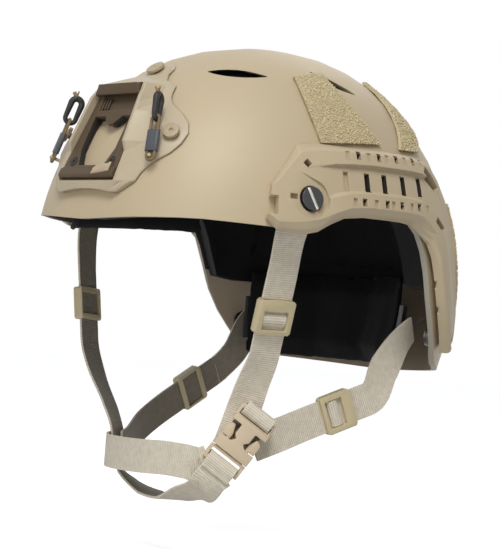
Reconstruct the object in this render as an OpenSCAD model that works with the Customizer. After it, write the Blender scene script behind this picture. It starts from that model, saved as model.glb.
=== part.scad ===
// Combat helmet with side rails, front mounting shroud, fit system and four-point chin strap.
// Millimetres. Front is -Y, the wearer's left is +X, up is +Z.
// The origin lies on the centre plane at the height of the brim.

/* [Shell] */
// Half width of the shell at the ears
shell_half_w = 109; // [104:1:114]
// Reach of the shell to the front
shell_front = 142; // [136:1:148]
// Reach of the shell to the rear
shell_rear = 136; // [130:1:142]
// Height of the crown over the brim
crown_h = 111; // [105:1:117]
// Depth of the flat that carries the shroud on the brow
brow_flat = 4.2; // [3.6:0.1:5]
// Shell wall
shell_t = 3.2; // [2.6:0.1:4]
// Brim height at the centre of the front
brim_z = -6; // [-9:0.5:-4]
// Height of the ear opening's arch
ear_z = 10; // [7:0.5:12]
// Height of the nape's lower edge
nape_z = -82; // [-88:1:-76]

/* [Liner and pads] */
// Thickness of the impact liner
liner_t = 13; // [10:1:16]
// Thickness of the comfort pads
pad_t = 13; // [9:1:16]
// Free fit between soft pieces and what carries them
soft_gap = 0.3; // [0.2:0.1:0.5]

/* [Rails] */
// Height of the rail's ridges over the shell
rail_ridge = 8.5; // [7.5:0.5:10]
// Height of the rail's web over the shell
rail_web = 5.5; // [4.5:0.5:6.5]
// Spacing of the rail's slots
slot_pitch = 16; // [15:0.5:17]
// Diameter of the front bolt's head
bolt_head_d = 13.6; // [12:0.2:14.4]

/* [Shroud] */
// Height of the shroud's metal frame
frame_h = 62; // [58:1:65]
// Width of the frame at its foot
frame_w = 50.4; // [48:0.2:53]
// Width of the frame at its head
frame_top_w = 33.4; // [31:0.2:36]
// Lean of the frame from the vertical
frame_lean = 23.4; // [22:0.2:25]
// Thickness of the frame's plate
frame_t = 2.8; // [2.4:0.1:3.2]

/* [Straps] */
// Width of the webbing
web_w = 20; // [18:0.5:22]
// Thickness of the webbing
web_t = 1.6; // [1.2:0.1:2]
// Clearance of the sliders round the webbing
web_gap = 0.35; // [0.3:0.05:0.5]
// Travel of a slider along its strap
slider_travel = 6; // [4:0.5:8]

/* [Fit dial] */
// Diameter of the dial knob
dial_d = 34; // [30:1:38]
// Running fit of the dial on its post
dial_fit = 0.08; // [0.05:0.01:0.1]

/* [Hidden] */

// Shape of the dome as front, side and rear values: widest height and section power
waist_z = [-54, -27, -34];
dome_power = [0.875, 0.89, 1.065];
plan_power = 0.885;
mid_y = 8.5;

sand = "#c2b08c";
web_sand = "#a89f88";
charcoal = "#222224";
earth = "#5b4d3f";
steel = "#4a4a48";

function spow(v, q) = sign(v) * pow(abs(v), q);
function unit(v) = v / norm(v);
function front_part(p) = pow(max(cos(p), 0), 2);
function rear_part(p) = pow(max(-cos(p), 0), 2);
function mix3(p, v) = v[0] * front_part(p) + v[2] * rear_part(p)
    + v[1] * (1 - front_part(p) - rear_part(p));
function clamp1(v) = min(max(v, -1), 1);

// Steepness angle of the dome at bearing p and height z, for the surface d outside the shell
function steep(p, z, d) = let(w = mix3(p, waist_z))
    asin(clamp1(spow((z - w) / (crown_h + d - w), 1 / mix3(p, dome_power))));
// Point of the dome at bearing p, steepness s and distance d outside the shell's surface
function dome_at(p, s, d) = let(
        w = mix3(p, waist_z),
        e = mix3(p, dome_power),
        c = pow(abs(cos(s)), e),
        reach = (cos(p) > 0 ? shell_front - brow_flat * pow(cos(p), 24) : shell_rear) + d)
    [(shell_half_w + d) * spow(sin(p), plan_power) * c,
     mid_y - reach * spow(cos(p), plan_power) * c,
     w + (crown_h + d - w) * spow(sin(s), e)];
function dome(p, z, d) = dome_at(p, steep(p, z, d), d);
// Outward normal of the dome at bearing p and height z
function out_dir(p, z) = unit(cross(dome(p + 0.5, z, 0) - dome(p - 0.5, z, 0),
    dome(p, z + 0.5, 0) - dome(p, z - 0.5, 0)));
function off_dome(p, z, d) = dome(p, z, 0) + d * out_dir(p, z);

// Bearing at which the dome reaches sideways position x at height z
function bearing(x, z, d, p = 20, n = 6) = n == 0 ? p
    : bearing(x, z, d, asin(min(pow(abs(x) / ((shell_half_w + d)
        * pow(cos(steep(p, z, d)), mix3(p, dome_power))), 1 / plan_power), 0.999)), n - 1);
function dome_y(x, z, d) = dome(bearing(x, z, d), z, d)[1];

// Lower edge of the shell by bearing: brim, ear opening and nape
rim_table = [[0, brim_z], [20, brim_z + 2], [40, brim_z + 3.5], [60, brim_z + 2.5],
    [68, brim_z + 2], [74, brim_z + 6.5], [80, ear_z - 4.5], [86, ear_z - 0.5], [92, ear_z],
    [97, ear_z], [101, ear_z - 2.5], [104, ear_z - 8], [106.5, ear_z - 18], [108.5, ear_z - 30],
    [111, nape_z + 45], [114.5, nape_z + 31], [118, nape_z + 21], [121, nape_z + 13],
    [125, nape_z + 7.5], [135, nape_z + 3.5], [180, nape_z]];
function fold(p) = p > 180 ? 360 - p : p;
function rim(p) = lookup(fold(p), rim_table);
half_turn = [0, 7, 14, 21, 28, 35, 42, 49, 56, 62, 68, 74, 80, 86, 92, 97, 101, 104, 106.5, 108.5,
    111, 114.5, 118, 121, 125, 130, 136, 143, 150, 158, 166, 173, 180];
full_turn = concat(half_turn, [for (i = [len(half_turn) - 2:-1:1]) 360 - half_turn[i]]);

// Ring j of dome points: the first lead from the lower edge to the first level, then levels follow
first_level = 26;
level_step = 8;
edge_rings = 6;
function ring(edge, j, d) = [for (i = [0:len(full_turn) - 1])
    let(p = full_turn[i], s = steep(p, edge[i], d)) dome_at(p, j < edge_rings
        ? s + (first_level - s) * j / edge_rings : first_level + level_step * (j - edge_rings), d)];

// Closed bowl between an outer and an inner list of rings and their two poles
module bowl(outer, inner, top, under) {
    n = len(outer[0]);
    m = len(outer);
    k = n * m;
    polyhedron(
        points = concat([for (r = outer) each r], [for (r = inner) each r], [top, under]),
        faces = concat(
            [for (j = [0:m - 2], i = [0:n - 1]) let(a = j * n + i, b = j * n + (i + 1) % n)
                each [[a, a + n, b + n], [a, b + n, b],
                    [a + k, b + k, b + n + k], [a + k, b + n + k, a + n + k]]],
            [for (i = [0:n - 1]) let(b = (i + 1) % n) each [[i, b, b + k], [i, b + k, i + k]]],
            [for (i = [0:n - 1]) let(a = (m - 1) * n + i, b = (m - 1) * n + (i + 1) % n)
                each [[a, 2 * k, b], [a + k, b + k, 2 * k + 1]]]),
        convexity = 6);
}

// Closed sheet between an outer and an inner grid of points, in columns
module slab(outer, inner) {
    m = len(outer);
    n = len(outer[0]);
    k = m * n;
    polyhedron(
        points = concat([for (c = outer) each c], [for (c = inner) each c]),
        faces = concat(
            [for (i = [0:m - 2], j = [0:n - 2]) let(a = i * n + j, b = a + n)
                each [[a, a + 1, b + 1], [a, b + 1, b],
                    [a + k, b + k, b + 1 + k], [a + k, b + 1 + k, a + 1 + k]]],
            [for (i = [0:m - 2]) let(a = i * n, b = a + n, d = a + n - 1, c = d + n)
                each [[a, b, b + k], [a, b + k, a + k], [d, d + k, c + k], [d, c + k, c]]],
            [for (j = [0:n - 2]) let(b = (m - 1) * n + j)
                each [[j, j + k, j + 1 + k], [j, j + 1 + k, j + 1],
                    [b, b + 1, b + 1 + k], [b, b + 1 + k, b + k]]]),
        convexity = 6);
}

// Sets a piece on the dome, its own Z along the outward normal
module seat(p, z, d) {
    q = off_dome(p, z, d);
    n = out_dir(p, z);
    translate(q) rotate([0, acos(n[2]), atan2(n[1], n[0])]) children();
}

// Sets a piece at point q, its own X along a and its own Z along n
module aim(q, a, n) {
    w = cross(n, a);
    multmatrix([[a[0], w[0], n[0], q[0]], [a[1], w[1], n[1], q[1]], [a[2], w[2], n[2], q[2]]])
        children();
}

module both_sides() {
    children();
    mirror([1, 0, 0]) children();
}

// Smooth curve through a list of points, with n steps between two points
function turn(a, b, c, d, t) = 0.5 * (2 * b + (c - a) * t + (2 * a - 5 * b + 4 * c - d) * t * t
    + (3 * b - a - 3 * c + d) * t * t * t);
function curve(q, n) = concat([for (i = [0:len(q) - 2], k = [0:n - 1])
    turn(q[max(i - 1, 0)], q[i], q[i + 1], q[min(i + 2, len(q) - 1)], k / n)], [q[len(q) - 1]]);

// Shell
last_ring = edge_rings + 7;
shell_edge = [for (p = full_turn) rim(p)];
vent_half_h = 2.2;
// Lens-shaped cut through the shell between two places, each a bearing and a height
module vent(a, b) {
    slab([for (i = [0:6]) let(t = i / 6, p = a[0] + (b[0] - a[0]) * t, z = a[1] + (b[1] - a[1]) * t,
            h = 0.3 + vent_half_h * (1 - pow(2 * t - 1, 2))) [dome(p, z - h, 2), dome(p, z + h, 2)]],
        [for (i = [0:6]) let(t = i / 6, p = a[0] + (b[0] - a[0]) * t, z = a[1] + (b[1] - a[1]) * t,
            h = 0.3 + vent_half_h * (1 - pow(2 * t - 1, 2)))
            [dome(p, z - h, -shell_t - 3), dome(p, z + h, -shell_t - 3)]]);
}
vent_z = crown_h - 25;
front_vent = [[28, vent_z + 0.5], [57, vent_z]];
side_vent = [[79, vent_z + 7.5], [94, vent_z - 3]];

// Fasteners, the top one over the shroud's frame
frame_foot_z = 18.2;
frame_head_z = frame_foot_z + frame_h * cos(frame_lean);
front_bolt = [70.5, 13];
rear_bolt = [123, -58];
wing_screw = [27.3, 44.6];
top_screw = [0, frame_head_z + 9];
bolt_shank_d = 5;
screw_shank_d = 4;
bore_fit = 0.2;
module left_bores() {
    seat(front_bolt[0], front_bolt[1], -shell_t - 3) cylinder(d = bolt_shank_d + 2 * bore_fit,
        h = 30, $fn = 48);
    seat(rear_bolt[0], rear_bolt[1], -shell_t - 3) cylinder(d = bolt_shank_d + 2 * bore_fit,
        h = 30, $fn = 48);
    seat(wing_screw[0], wing_screw[1], -shell_t - 3) cylinder(d = screw_shank_d + 2 * bore_fit,
        h = 30, $fn = 48);
}

module shell() {
    color(sand) difference() {
        bowl([for (j = [0:last_ring]) ring(shell_edge, j, 0)],
            [for (j = [0:last_ring]) ring(shell_edge, j, -shell_t)],
            [0, mid_y, crown_h], [0, mid_y, crown_h - shell_t]);
        both_sides() {
            vent(front_vent[0], front_vent[1]);
            vent(side_vent[0], side_vent[1]);
            left_bores();
        }
        seat(top_screw[0], top_screw[1], -shell_t - 3)
            cylinder(d = screw_shank_d + 2 * bore_fit, h = 30, $fn = 48);
    }
}

// Impact liner: its lower edge clears the strap anchors and leaves the nape's wall bare
liner_seat = 0.8;
liner_out = -shell_t - liner_seat;
liner_in = liner_out - liner_t;
liner_table = [[0, brim_z + 1], [30, brim_z + 4], [50, brim_z + 5], [56, brim_z + 6], [62, 25],
    [78, 25], [86, ear_z + 4], [97, ear_z + 4], [101, ear_z + 2], [104, ear_z - 3],
    [106.5, ear_z - 13], [108.5, ear_z - 24], [111, -28], [118, -30], [125, -30], [143, -24],
    [180, -20]];
liner_edge = [for (p = full_turn) lookup(fold(p), liner_table)];
module impact_liner() {
    color(charcoal) bowl([for (j = [0:last_ring]) ring(liner_edge, j, liner_out)],
        [for (j = [0:last_ring]) ring(liner_edge, j, liner_in)],
        [0, mid_y, crown_h + liner_out], [0, mid_y, crown_h + liner_in]);
}

// Comfort pads: crowned cushions on the liner with drawn-in edges and sewn channels
pad_seat = 0.6;
pad_back = liner_in - pad_seat;
function crest(s) = pow(1 - pow(abs(2 * s - 1), 4), 0.5);
function channel(s, count) = 1 - 0.28 * pow(abs(cos(180 * s * count)), 8);
// Pad between bearings p0 and p1 and heights z0 and z1, with a number of tufted fields
module pad(p0, p1, z0, z1, back, t, cols, rows, fields) {
    edge = 0.25;
    color(charcoal) slab(
        [for (i = [0:cols]) [for (j = [0:rows])
            dome(p0 + (p1 - p0) * i / cols, z0 + (z1 - z0) * j / rows, back)]],
        [for (i = [0:cols]) [for (j = [0:rows]) let(s = i / cols, v = j / rows,
            h = t * (edge + (1 - edge) * crest(s) * crest(v) * (i == 0 || i == cols ? 1
                : channel(s, fields))), sp = 0.5 + (s - 0.5) * 0.94, vp = 0.5 + (v - 0.5) * 0.92)
            dome(p0 + (p1 - p0) * sp, z0 + (z1 - z0) * vp, back - h)]]);
}
module brow_pad() pad(-42, 42, brim_z - 6, 26, pad_back, pad_t, 24, 6, 4);
module side_pad_left() pad(50, 100, 30, 62, pad_back, pad_t, 14, 6, 2);
module side_pad_right() pad(-100, -50, 30, 62, pad_back, pad_t, 14, 6, 2);
rear_pad_low = -18;
module rear_pad() pad(122, 238, rear_pad_low, 40, pad_back, pad_t, 24, 6, 3);
crown_rows = [0, 0.2, 0.45, 0.7];
crown_edge_s = 64;
module crown_pad() {
    color(charcoal) bowl(
        [for (v = crown_rows) [for (a = [0:15:345])
            dome_at(a, crown_edge_s + (90 - crown_edge_s) * v, pad_back)]],
        [for (v = crown_rows) [for (a = [0:15:345])
            dome_at(a, crown_edge_s + (90 - crown_edge_s) * min(1, v + (v == 0 ? 0.03 : 0)),
                pad_back - pad_t * (0.25 + 0.75 * crest(0.5 * v)) * channel(a / 360, 2))]],
        [0, mid_y, crown_h + pad_back], [0, mid_y, crown_h + pad_back - pad_t]);
}

// Fit system: a band round the nape, hung from the shell, drawn in by a dial
band_low = -68;
band_high = -40;
band_p = 122;
band_t = 2.5;
band_clear = 21;
function band_d(p) = -shell_t - band_clear - 14 * pow(max(0, 1 - abs(p - 180) / 52), 0.6);
module band_sheet(low, high, out, t, cols, color_name) {
    color(color_name) slab(
        [for (i = [0:cols]) let(p = band_p + (360 - 2 * band_p) * i / cols)
            [for (j = [0:4]) dome(p, low + (high - low) * j / 4, band_d(p) + out)]],
        [for (i = [0:cols]) let(p = band_p + (360 - 2 * band_p) * i / cols)
            [for (j = [0:4]) dome(p, low + (high - low) * j / 4, band_d(p) + out - t)]]);
}
module fit_band() band_sheet(band_low, band_high, 0, band_t, 24, charcoal);
module nape_pad() {
    back = -band_t - 2 * soft_gap;
    cols = 24;
    low = nape_z + 1.5;
    high = rear_pad_low - 1.5;
    color(charcoal) slab(
        [for (i = [0:cols]) let(p = band_p + (360 - 2 * band_p) * i / cols)
            [for (j = [0:5]) dome(p, low + (high - low) * j / 5, band_d(p) + back)]],
        [for (i = [0:cols]) let(p = band_p + (360 - 2 * band_p) * (0.5 + (i / cols - 0.5) * 0.98))
            [for (j = [0:5]) dome(p, low + (high - low) * (0.5 + (j / 5 - 0.5) * 0.9),
                band_d(p) + back - pad_t * (0.25 + 0.75 * crest(i / cols) * crest(j / 5)
                    * channel(i / cols, 3)))]]);
}
// Two arms hang the band's ends from the shell's wall
hang_p = band_p + 11;
hang_high = -36;
module hanger() {
    heights = [band_low + 6, band_high - 14, band_high - 7, hang_high - 6, hang_high];
    share = [0, 0, 0.5, 1, 1];
    color(charcoal) slab(
        [for (p = [hang_p - 3, hang_p + 3]) [for (j = [0:4]) dome(p, heights[j],
            (band_d(p) + 2 * soft_gap + 1.6) * (1 - share[j]) - (shell_t + 2 * soft_gap) * share[j])]],
        [for (p = [hang_p - 3, hang_p + 3]) [for (j = [0:4]) dome(p, heights[j],
            (band_d(p) + 2 * soft_gap) * (1 - share[j]) - (shell_t + 2 * soft_gap + 1.6) * share[j])]]);
}
module band_hangers() both_sides() hanger();

// Dial behind the band
dial_z = -54;
dial_y = dome(180, band_high, band_d(180))[1] + 3 * soft_gap;
housing_t = 12;
knob_t = 8;
post_d = 8;
lace_d = 2.4;
lace_off = 3.2;
lace_end_p = 166;
ear_half = dome(lace_end_p, dial_z, band_d(lace_end_p) + lace_off)[0] - soft_gap;
module dial_place() translate([0, dial_y, dial_z]) rotate([-90, 0, 0]) children();
module dial_housing() {
    color(charcoal) dial_place() difference() {
        union() {
            cylinder(d = dial_d + 4, h = housing_t, $fn = 64);
            translate([-ear_half, -8, 0]) cube([2 * ear_half, 16, housing_t - 4]);
            cylinder(d = post_d, h = housing_t + soft_gap + knob_t + 1, $fn = 48);
        }
        translate([0, 0, housing_t - 3]) difference() {
            cylinder(d = dial_d - 4, h = 4, $fn = 64);
            translate([0, 0, -1]) cylinder(d = post_d + 6, h = 6, $fn = 48);
        }
    }
}
grip_count = 16;
module dial_knob() {
    color(charcoal) dial_place() translate([0, 0, housing_t + soft_gap]) difference() {
        cylinder(d = dial_d, h = knob_t, $fn = 96);
        translate([0, 0, -1]) cylinder(d = post_d + 2 * dial_fit, h = knob_t + 2, $fn = 48);
        for (i = [0:grip_count - 1]) rotate([0, 0, 360 / grip_count * i])
            translate([dial_d / 2 + 0.6, 0, -1]) cylinder(d = 4, h = knob_t + 2, $fn = 24);
        translate([0, 0, knob_t - 1.5]) difference() {
            cylinder(d = dial_d - 8, h = 3, $fn = 64);
            translate([0, 0, -1]) cylinder(d = post_d + 6, h = 5, $fn = 48);
        }
    }
}

// Round cord swept along a list of points
module cord(q, r, sides) {
    n = len(q);
    dirs = [for (i = [0:n - 1]) unit(q[min(i + 1, n - 1)] - q[max(i - 1, 0)])];
    ups = [for (d = dirs) unit(cross(d, [0.31, 0.17, 0.93]))];
    pts = [for (i = [0:n - 1], k = [0:sides - 1]) q[i] + r * (cos(360 * k / sides) * ups[i]
        + sin(360 * k / sides) * cross(dirs[i], ups[i]))];
    polyhedron(points = pts, faces = concat(
        [for (i = [0:n - 2], k = [0:sides - 1]) let(a = i * sides + k,
            b = i * sides + (k + 1) % sides) each [[a, a + sides, b + sides], [a, b + sides, b]]],
        [[for (k = [0:sides - 1]) k], [for (k = [sides - 1:-1:0]) (n - 1) * sides + k]]));
}
lace_start_p = hang_p + 5;
module lace() cord([for (k = [0:4]) let(p = lace_start_p + (lace_end_p - lace_start_p) * k / 4)
    dome(p, dial_z, band_d(p) + lace_off)],
    lace_d / 2, 8);
module fit_laces() color(charcoal) both_sides() lace();

// Loop patches on the shell, each between four corners given as bearing and height
patch_gap = 0.35;
patch_t = 1.4;
function blend4(a, b, c, d, u, v) = (a * (1 - u) + b * u) * (1 - v) + (c * (1 - u) + d * u) * v;
module patch(low_front, low_rear, high_front, high_rear, cols, rows) {
    grid = [for (i = [0:cols]) [for (j = [0:rows])
        blend4(low_front, low_rear, high_front, high_rear, i / cols, j / rows)]];
    color("#a39a72") slab(
        [for (c = grid) [for (q = c) dome(q[0], q[1], patch_gap + patch_t)]],
        [for (c = grid) [for (q = c) dome(q[0], q[1], patch_gap)]]);
}
patch_high = crown_h - 16;
module loop_patch_left() patch([75, 47.9], [93.5, 52.8], [68.8, patch_high - 7],
    [83.1, patch_high - 1.2], 6, 6);
module loop_patch_right() mirror([1, 0, 0]) loop_patch_left();
module loop_patch_rear_left() patch([101.5, 52], [112.5, 53], [115, patch_high],
    [148, patch_high], 6, 6);
module loop_patch_rear_right() mirror([1, 0, 0]) loop_patch_rear_left();
module loop_patch_nape() patch([134, -40], [226, -40], [134, 26], [226, 26], 24, 8);

// Rails: a strip along the ear with a leg down to the nape
rail_gap = 0.4;
rail_front_d = 6.5;
rail_leg_gap = 2.2;
leg_wall = 1.6;
leg_back = 0.9;
// Bearing of the ear opening's rear edge at height z
ear_rear = [for (q = rim_table) if (q[0] >= 101 && q[0] <= 125) [q[1], q[0]]];
function leg_edge(z) = lookup(z, ear_rear) + leg_back;
// Stations as bearing and height of the upper or outer edge, then of the lower or inner edge,
// then the shares of the ridges and of the leg
rail_stations = [
    [60.2, 21, 59.4, 0.5, 0, 0], [62, 27, 62.5, ear_z - 15, 0, 0], [65, 36.5, 66, ear_z - 16.2, 0, 0],
    [67.5, 45, 70, ear_z - 16.2, 0, 0], [72.5, 47.4, 73.5, ear_z - 14, 0.15, 0],
    [77, 47.5, 77, ear_z - 9, 0.8, 0], [82, 47.5, 80.7, ear_z - 4.7, 1, 0],
    [88, 48.3, 86, ear_z - 2.8, 1, 0], [94, 48.7, 92, ear_z - 2.5, 1, 0],
    [100, 49, 96.5, ear_z - 2.5, 1, 0], [105, 48.8, 100, ear_z - 3.5, 1, 0],
    [109.5, 47, 102.5, ear_z - 6.5, 0.8, 0.1], [113.5, 40, leg_edge(-3), -3, 0.2, 0.6],
    for (q = [[116.5, 28, -11], [118, 12, -20], [119.5, -6, -32], [121.5, -24, -44], [124, -42, -55],
        [125.6, -54, -63.5], [126.2, -59, -67.5]]) [q[0], q[1], leg_edge(q[2]), q[2], 0, 1]];
// Shares across the strip, the height over the shell with and without ridges, and what the leg adds
rail_rows = [[0, 1.2, 1.2, 0], [0.05, rail_ridge - 1, 5, 0], [0.09, rail_ridge, rail_front_d, 0],
    [0.25, rail_ridge, rail_front_d, 0], [0.28, rail_web, rail_front_d, 0],
    [0.43, rail_web, rail_front_d, 0.3], [0.62, rail_web, rail_front_d, leg_wall],
    [0.66, rail_ridge, rail_front_d, leg_wall + 0.2], [0.86, rail_ridge, rail_front_d, leg_wall + 0.5],
    [0.95, rail_ridge - 3.5, 4.5, leg_wall + 2], [1, 1.2, 1.2, leg_wall + 4]];
function rail_grid(outer) = [for (s = rail_stations) [for (k = [len(rail_rows) - 1:-1:0])
    let(r = rail_rows[k], d = outer ? r[1] * s[4] + r[2] * (1 - s[4]) + r[3] * s[5]
        : rail_gap + rail_leg_gap * s[5] * max(0, min(1, (r[0] - 0.6) * 5)))
    dome(s[0] + (s[2] - s[0]) * r[0], s[1] + (s[3] - s[1]) * r[0], d)]];
// Bearing and height on the side of the shell at position y
function side_bearing(y, z, p = 90, n = 6) = n == 0 ? p
    : side_bearing(y, z, p + (y - dome(p, z, 5)[1]) / 1.9, n - 1);
slot_w = 4;
slot_h = 11.6;
slot_count = 5;
slot_mid_y = 11.3;
slot_z = 25.3;
// Rows of small squares between shallow marks, low and high: height, how far the squares and the
// marks lie behind the slots, and the squares' length
square_rows = [[13.6, -5.5, 3.4, 4.6], [39.3, 9.7 - slot_pitch, 1.8, 5.2]];
mark_d = rail_ridge - 1.2;
module slot_at(y, z, w, h, floor_d) {
    seat(side_bearing(y, z), z, floor_d) translate([-h / 2, -w / 2, 0]) cube([h, w, 20]);
}
module rail_cuts() {
    for (i = [0:slot_count - 1]) {
        y = slot_mid_y + (i - (slot_count - 1) / 2) * slot_pitch;
        slot_at(y, slot_z + 0.75 * i, slot_w, slot_h, i == 0 ? 3.5 : -0.5);
        for (r = square_rows) {
            if (i > 0) slot_at(y + r[1], r[0] + 0.55 * i, 3.6, r[3], 2.5);
            slot_at(y + r[2], r[0] + 0.55 * i, 3.2, r[3], mark_d);
        }
    }
    seat(69.2, 32.4, -0.5) rotate([0, 0, 45]) translate([-2, -2, 0]) cube([4, 4, 20]);
    seat(front_bolt[0], front_bolt[1], 3.4) cylinder(d = bolt_head_d + 2, h = 12, $fn = 64);
    // Sunk field round the bolt, drawn out to a tip above and in front of it
    seat(front_bolt[0], front_bolt[1], 5.2) rotate([-5, 0, 0]) linear_extrude(12) hull() {
        circle(d = bolt_head_d + 9.4, $fn = 64);
        translate([-16, -11.4]) circle(1, $fn = 24);
    }
    seat(front_bolt[0] - 4.8, front_bolt[1] + 0.3, 3.4) translate([-1.6, -2.5, 0]) cube([3.2, 5, 12]);
    // Notch in the front edge, two slanted openings over the leg and two small ones at its wall
    seat(59.4, 8.5, -2) translate([-4.4, -5, 0]) cube([10.6, 10, 20]);
    for (q = [[108.3, 33.5, 18], [109.6, 8, 11]]) seat(q[0], q[1], 1.6) rotate([0, 0, 52])
        translate([-q[2] / 2, -2.6, 0]) cube([q[2], 5.2, 20]);
    for (z = [-27, -42]) seat(leg_edge(z) - 0.2, z, 0) cylinder(d = 5, h = rail_leg_gap + 2, $fn = 32);
    seat(rear_bolt[0], rear_bolt[1], 3.2) cylinder(d = 9, h = 12, $fn = 48);
}
module rail_left() {
    color(sand) difference() {
        slab(rail_grid(true), rail_grid(false));
        rail_cuts();
        left_bores();
    }
}
module rail_right() mirror([1, 0, 0]) rail_left();

// Bolts with their nuts inside the shell
strap_d = -shell_t - 1.1 - web_t / 2;
nut_t = 3.5;
nut_d = 14;
nut_top = strap_d - web_t / 2 - 2 * soft_gap;
module bolt(place, head_d, head_low, head_t, slot_deep) {
    seat(place[0], place[1], 0) difference() {
        union() {
            translate([0, 0, head_low]) cylinder(d = head_d, h = head_t, $fn = 64);
            translate([0, 0, nut_top - nut_t]) cylinder(d = bolt_shank_d,
                h = head_low + 1 - nut_top + nut_t, $fn = 48);
        }
        rotate([0, 0, 25]) translate([-head_d, -0.8, head_low + head_t - slot_deep])
            cube([2 * head_d, 1.6, slot_deep + 1]);
    }
}
module nut(place, top) {
    seat(place[0], place[1], top - nut_t) difference() {
        cylinder(d = nut_d, h = nut_t, $fn = 48);
        translate([0, 0, -1]) cylinder(d = bolt_shank_d + 2 * bore_fit, h = nut_t + 2, $fn = 48);
    }
}
module front_bolts() color(steel) both_sides() bolt(front_bolt, bolt_head_d, 3.7, 3.8, 1.4);
module rear_bolts() color(sand) both_sides() bolt(rear_bolt, 8, 3.5, 2.5, 1);
module anchor_nuts() {
    color(steel) both_sides() {
        nut(front_bolt, nut_top);
        nut(rear_bolt, -shell_t - 1.3);
    }
}

// Shroud: a base plate on the brow that carries a metal frame
foot_h = 4;
lip_h = 8;
lip_w = frame_top_w + 7.6;
lip_out = 3.7;
lip_nose = 6.2;
base_gap = 0.5;
base_least = 1.5;
pocket_gap = 0.5;
pocket_foot = frame_t * sin(frame_lean) + pocket_gap;
cheek_t = 2.6;
wing_t = 3;
strap_t = 5.5;
frame_seat = (frame_t + soft_gap) / cos(frame_lean);
// The frame's face lies as near the brow as the base's least thickness lets it
frame_y = min([for (z = [frame_foot_z:4:frame_foot_z + 48])
    dome_y(0, z, 0) - (z - frame_foot_z) * tan(frame_lean)]) - frame_seat - base_least;
function plane_y(z) = frame_y + (z - frame_foot_z) * tan(frame_lean);
// Half width of the frame, and reach of the base's cheeks over its face, at height z
function frame_run(z) = (z - frame_foot_z) / cos(frame_lean);
function frame_half(z) = lookup(frame_run(z) - lip_nose * tan(frame_lean), [[foot_h, frame_w / 2],
    [frame_h - lip_h, lip_w / 2], [frame_h, frame_top_w / 2]]);
function cheek(z) = lookup(frame_run(z), [[0.3 * frame_h, 0], [0.38 * frame_h, 4],
    [frame_h - lip_h, 4.5], [frame_h, 2.5]]);
// Half width of the base over its wings, which reach round the brow with the shell's width
wing_half = shell_half_w / 2;
// Rows of the base: height, half width with the wings, and whether the frame's pocket is in it
foot_rows = [[-8.4, 27, 0], [-6.7, 30, 0], [-pocket_foot - 0.3, 36.5, 0], [-pocket_foot, 37, 1]];
frame_rows = [[0.065, 39.2], [0.172, 43.5], [0.277, wing_half - 3.5], [0.382, wing_half - 0.5],
    [0.489, wing_half], [0.594, wing_half - 3], [0.698, wing_half - 9.5], [0.805, 35],
    [1 - lip_h / frame_h, 31], [0.94, 28.5]];
head_rows = [[pocket_gap, 26.6, 1], [pocket_gap + 0.3, 26.3, 0], [5, 14, 0], [9, 9.5, 0],
    [13, 8, 0], [16, 4, 0]];
base_rows = concat([for (r = foot_rows) [frame_foot_z + r[0], r[1], r[2]]],
    [for (r = frame_rows) [frame_foot_z + r[0] * (frame_head_z - frame_foot_z), r[1], 1]],
    [for (r = head_rows) [frame_head_z + r[0], r[1], r[2]]]);
// Face of the base beside the frame, with its run down to the brow below and to the screw above
function base_face(x, z) = let(skin = dome_y(x, z, 0),
        low = max(0, (frame_foot_z - z) / 8.4), high = min(max(0, (z - frame_head_z - 0.8) / 7), 1))
    z < frame_foot_z ? plane_y(z) * (1 - low) + (skin - 3.6) * low
    : (plane_y(min(z, frame_head_z)) - cheek(z)) * (1 - high) + (skin - strap_t) * high;
// Column c of seven, out to one side: pocket, its wall, the cheek, its flank and the wing
function base_x(c, r) = let(half = frame_half(r[0]), w = r[1], f = min(half + pocket_gap
        + cheek_t, 0.8 * w))
    [0, min(half + pocket_gap, 0.68 * w), min(half + pocket_gap + 0.3, 0.7 * w), f,
        f + 0.42 * (w - f), w - 0.16 * (w - f), w][c];
function base_point(c, r, outer) = let(z = r[0], x = base_x(c, r), skin = dome_y(x, z, 0))
    [x, !outer ? skin - base_gap
        : c == 6 ? skin - base_gap - 1
        : c >= 4 ? skin - wing_t - (c == 4 ? 1.2 : 0)
        : min(c <= 1 && r[2] == 1 ? plane_y(z) + frame_seat : base_face(x, z),
            skin - base_least), z];
function base_grid(outer) = [for (c = [-6:6]) [for (r = base_rows)
    let(q = base_point(abs(c), r, outer)) [c < 0 ? -q[0] : q[0], q[1], q[2]]]];

// Places pieces in the frame's plane, Y up along it and Z out of its face
module frame_place() translate([0, frame_y, frame_foot_z]) rotate([90 - frame_lean, 0, 0]) children();
frame_screw = [frame_w / 2 - 7.5, 10.6];
lanyard_r = 0.95;
lanyard_bend = 2.3;
post_r = 1;
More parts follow.
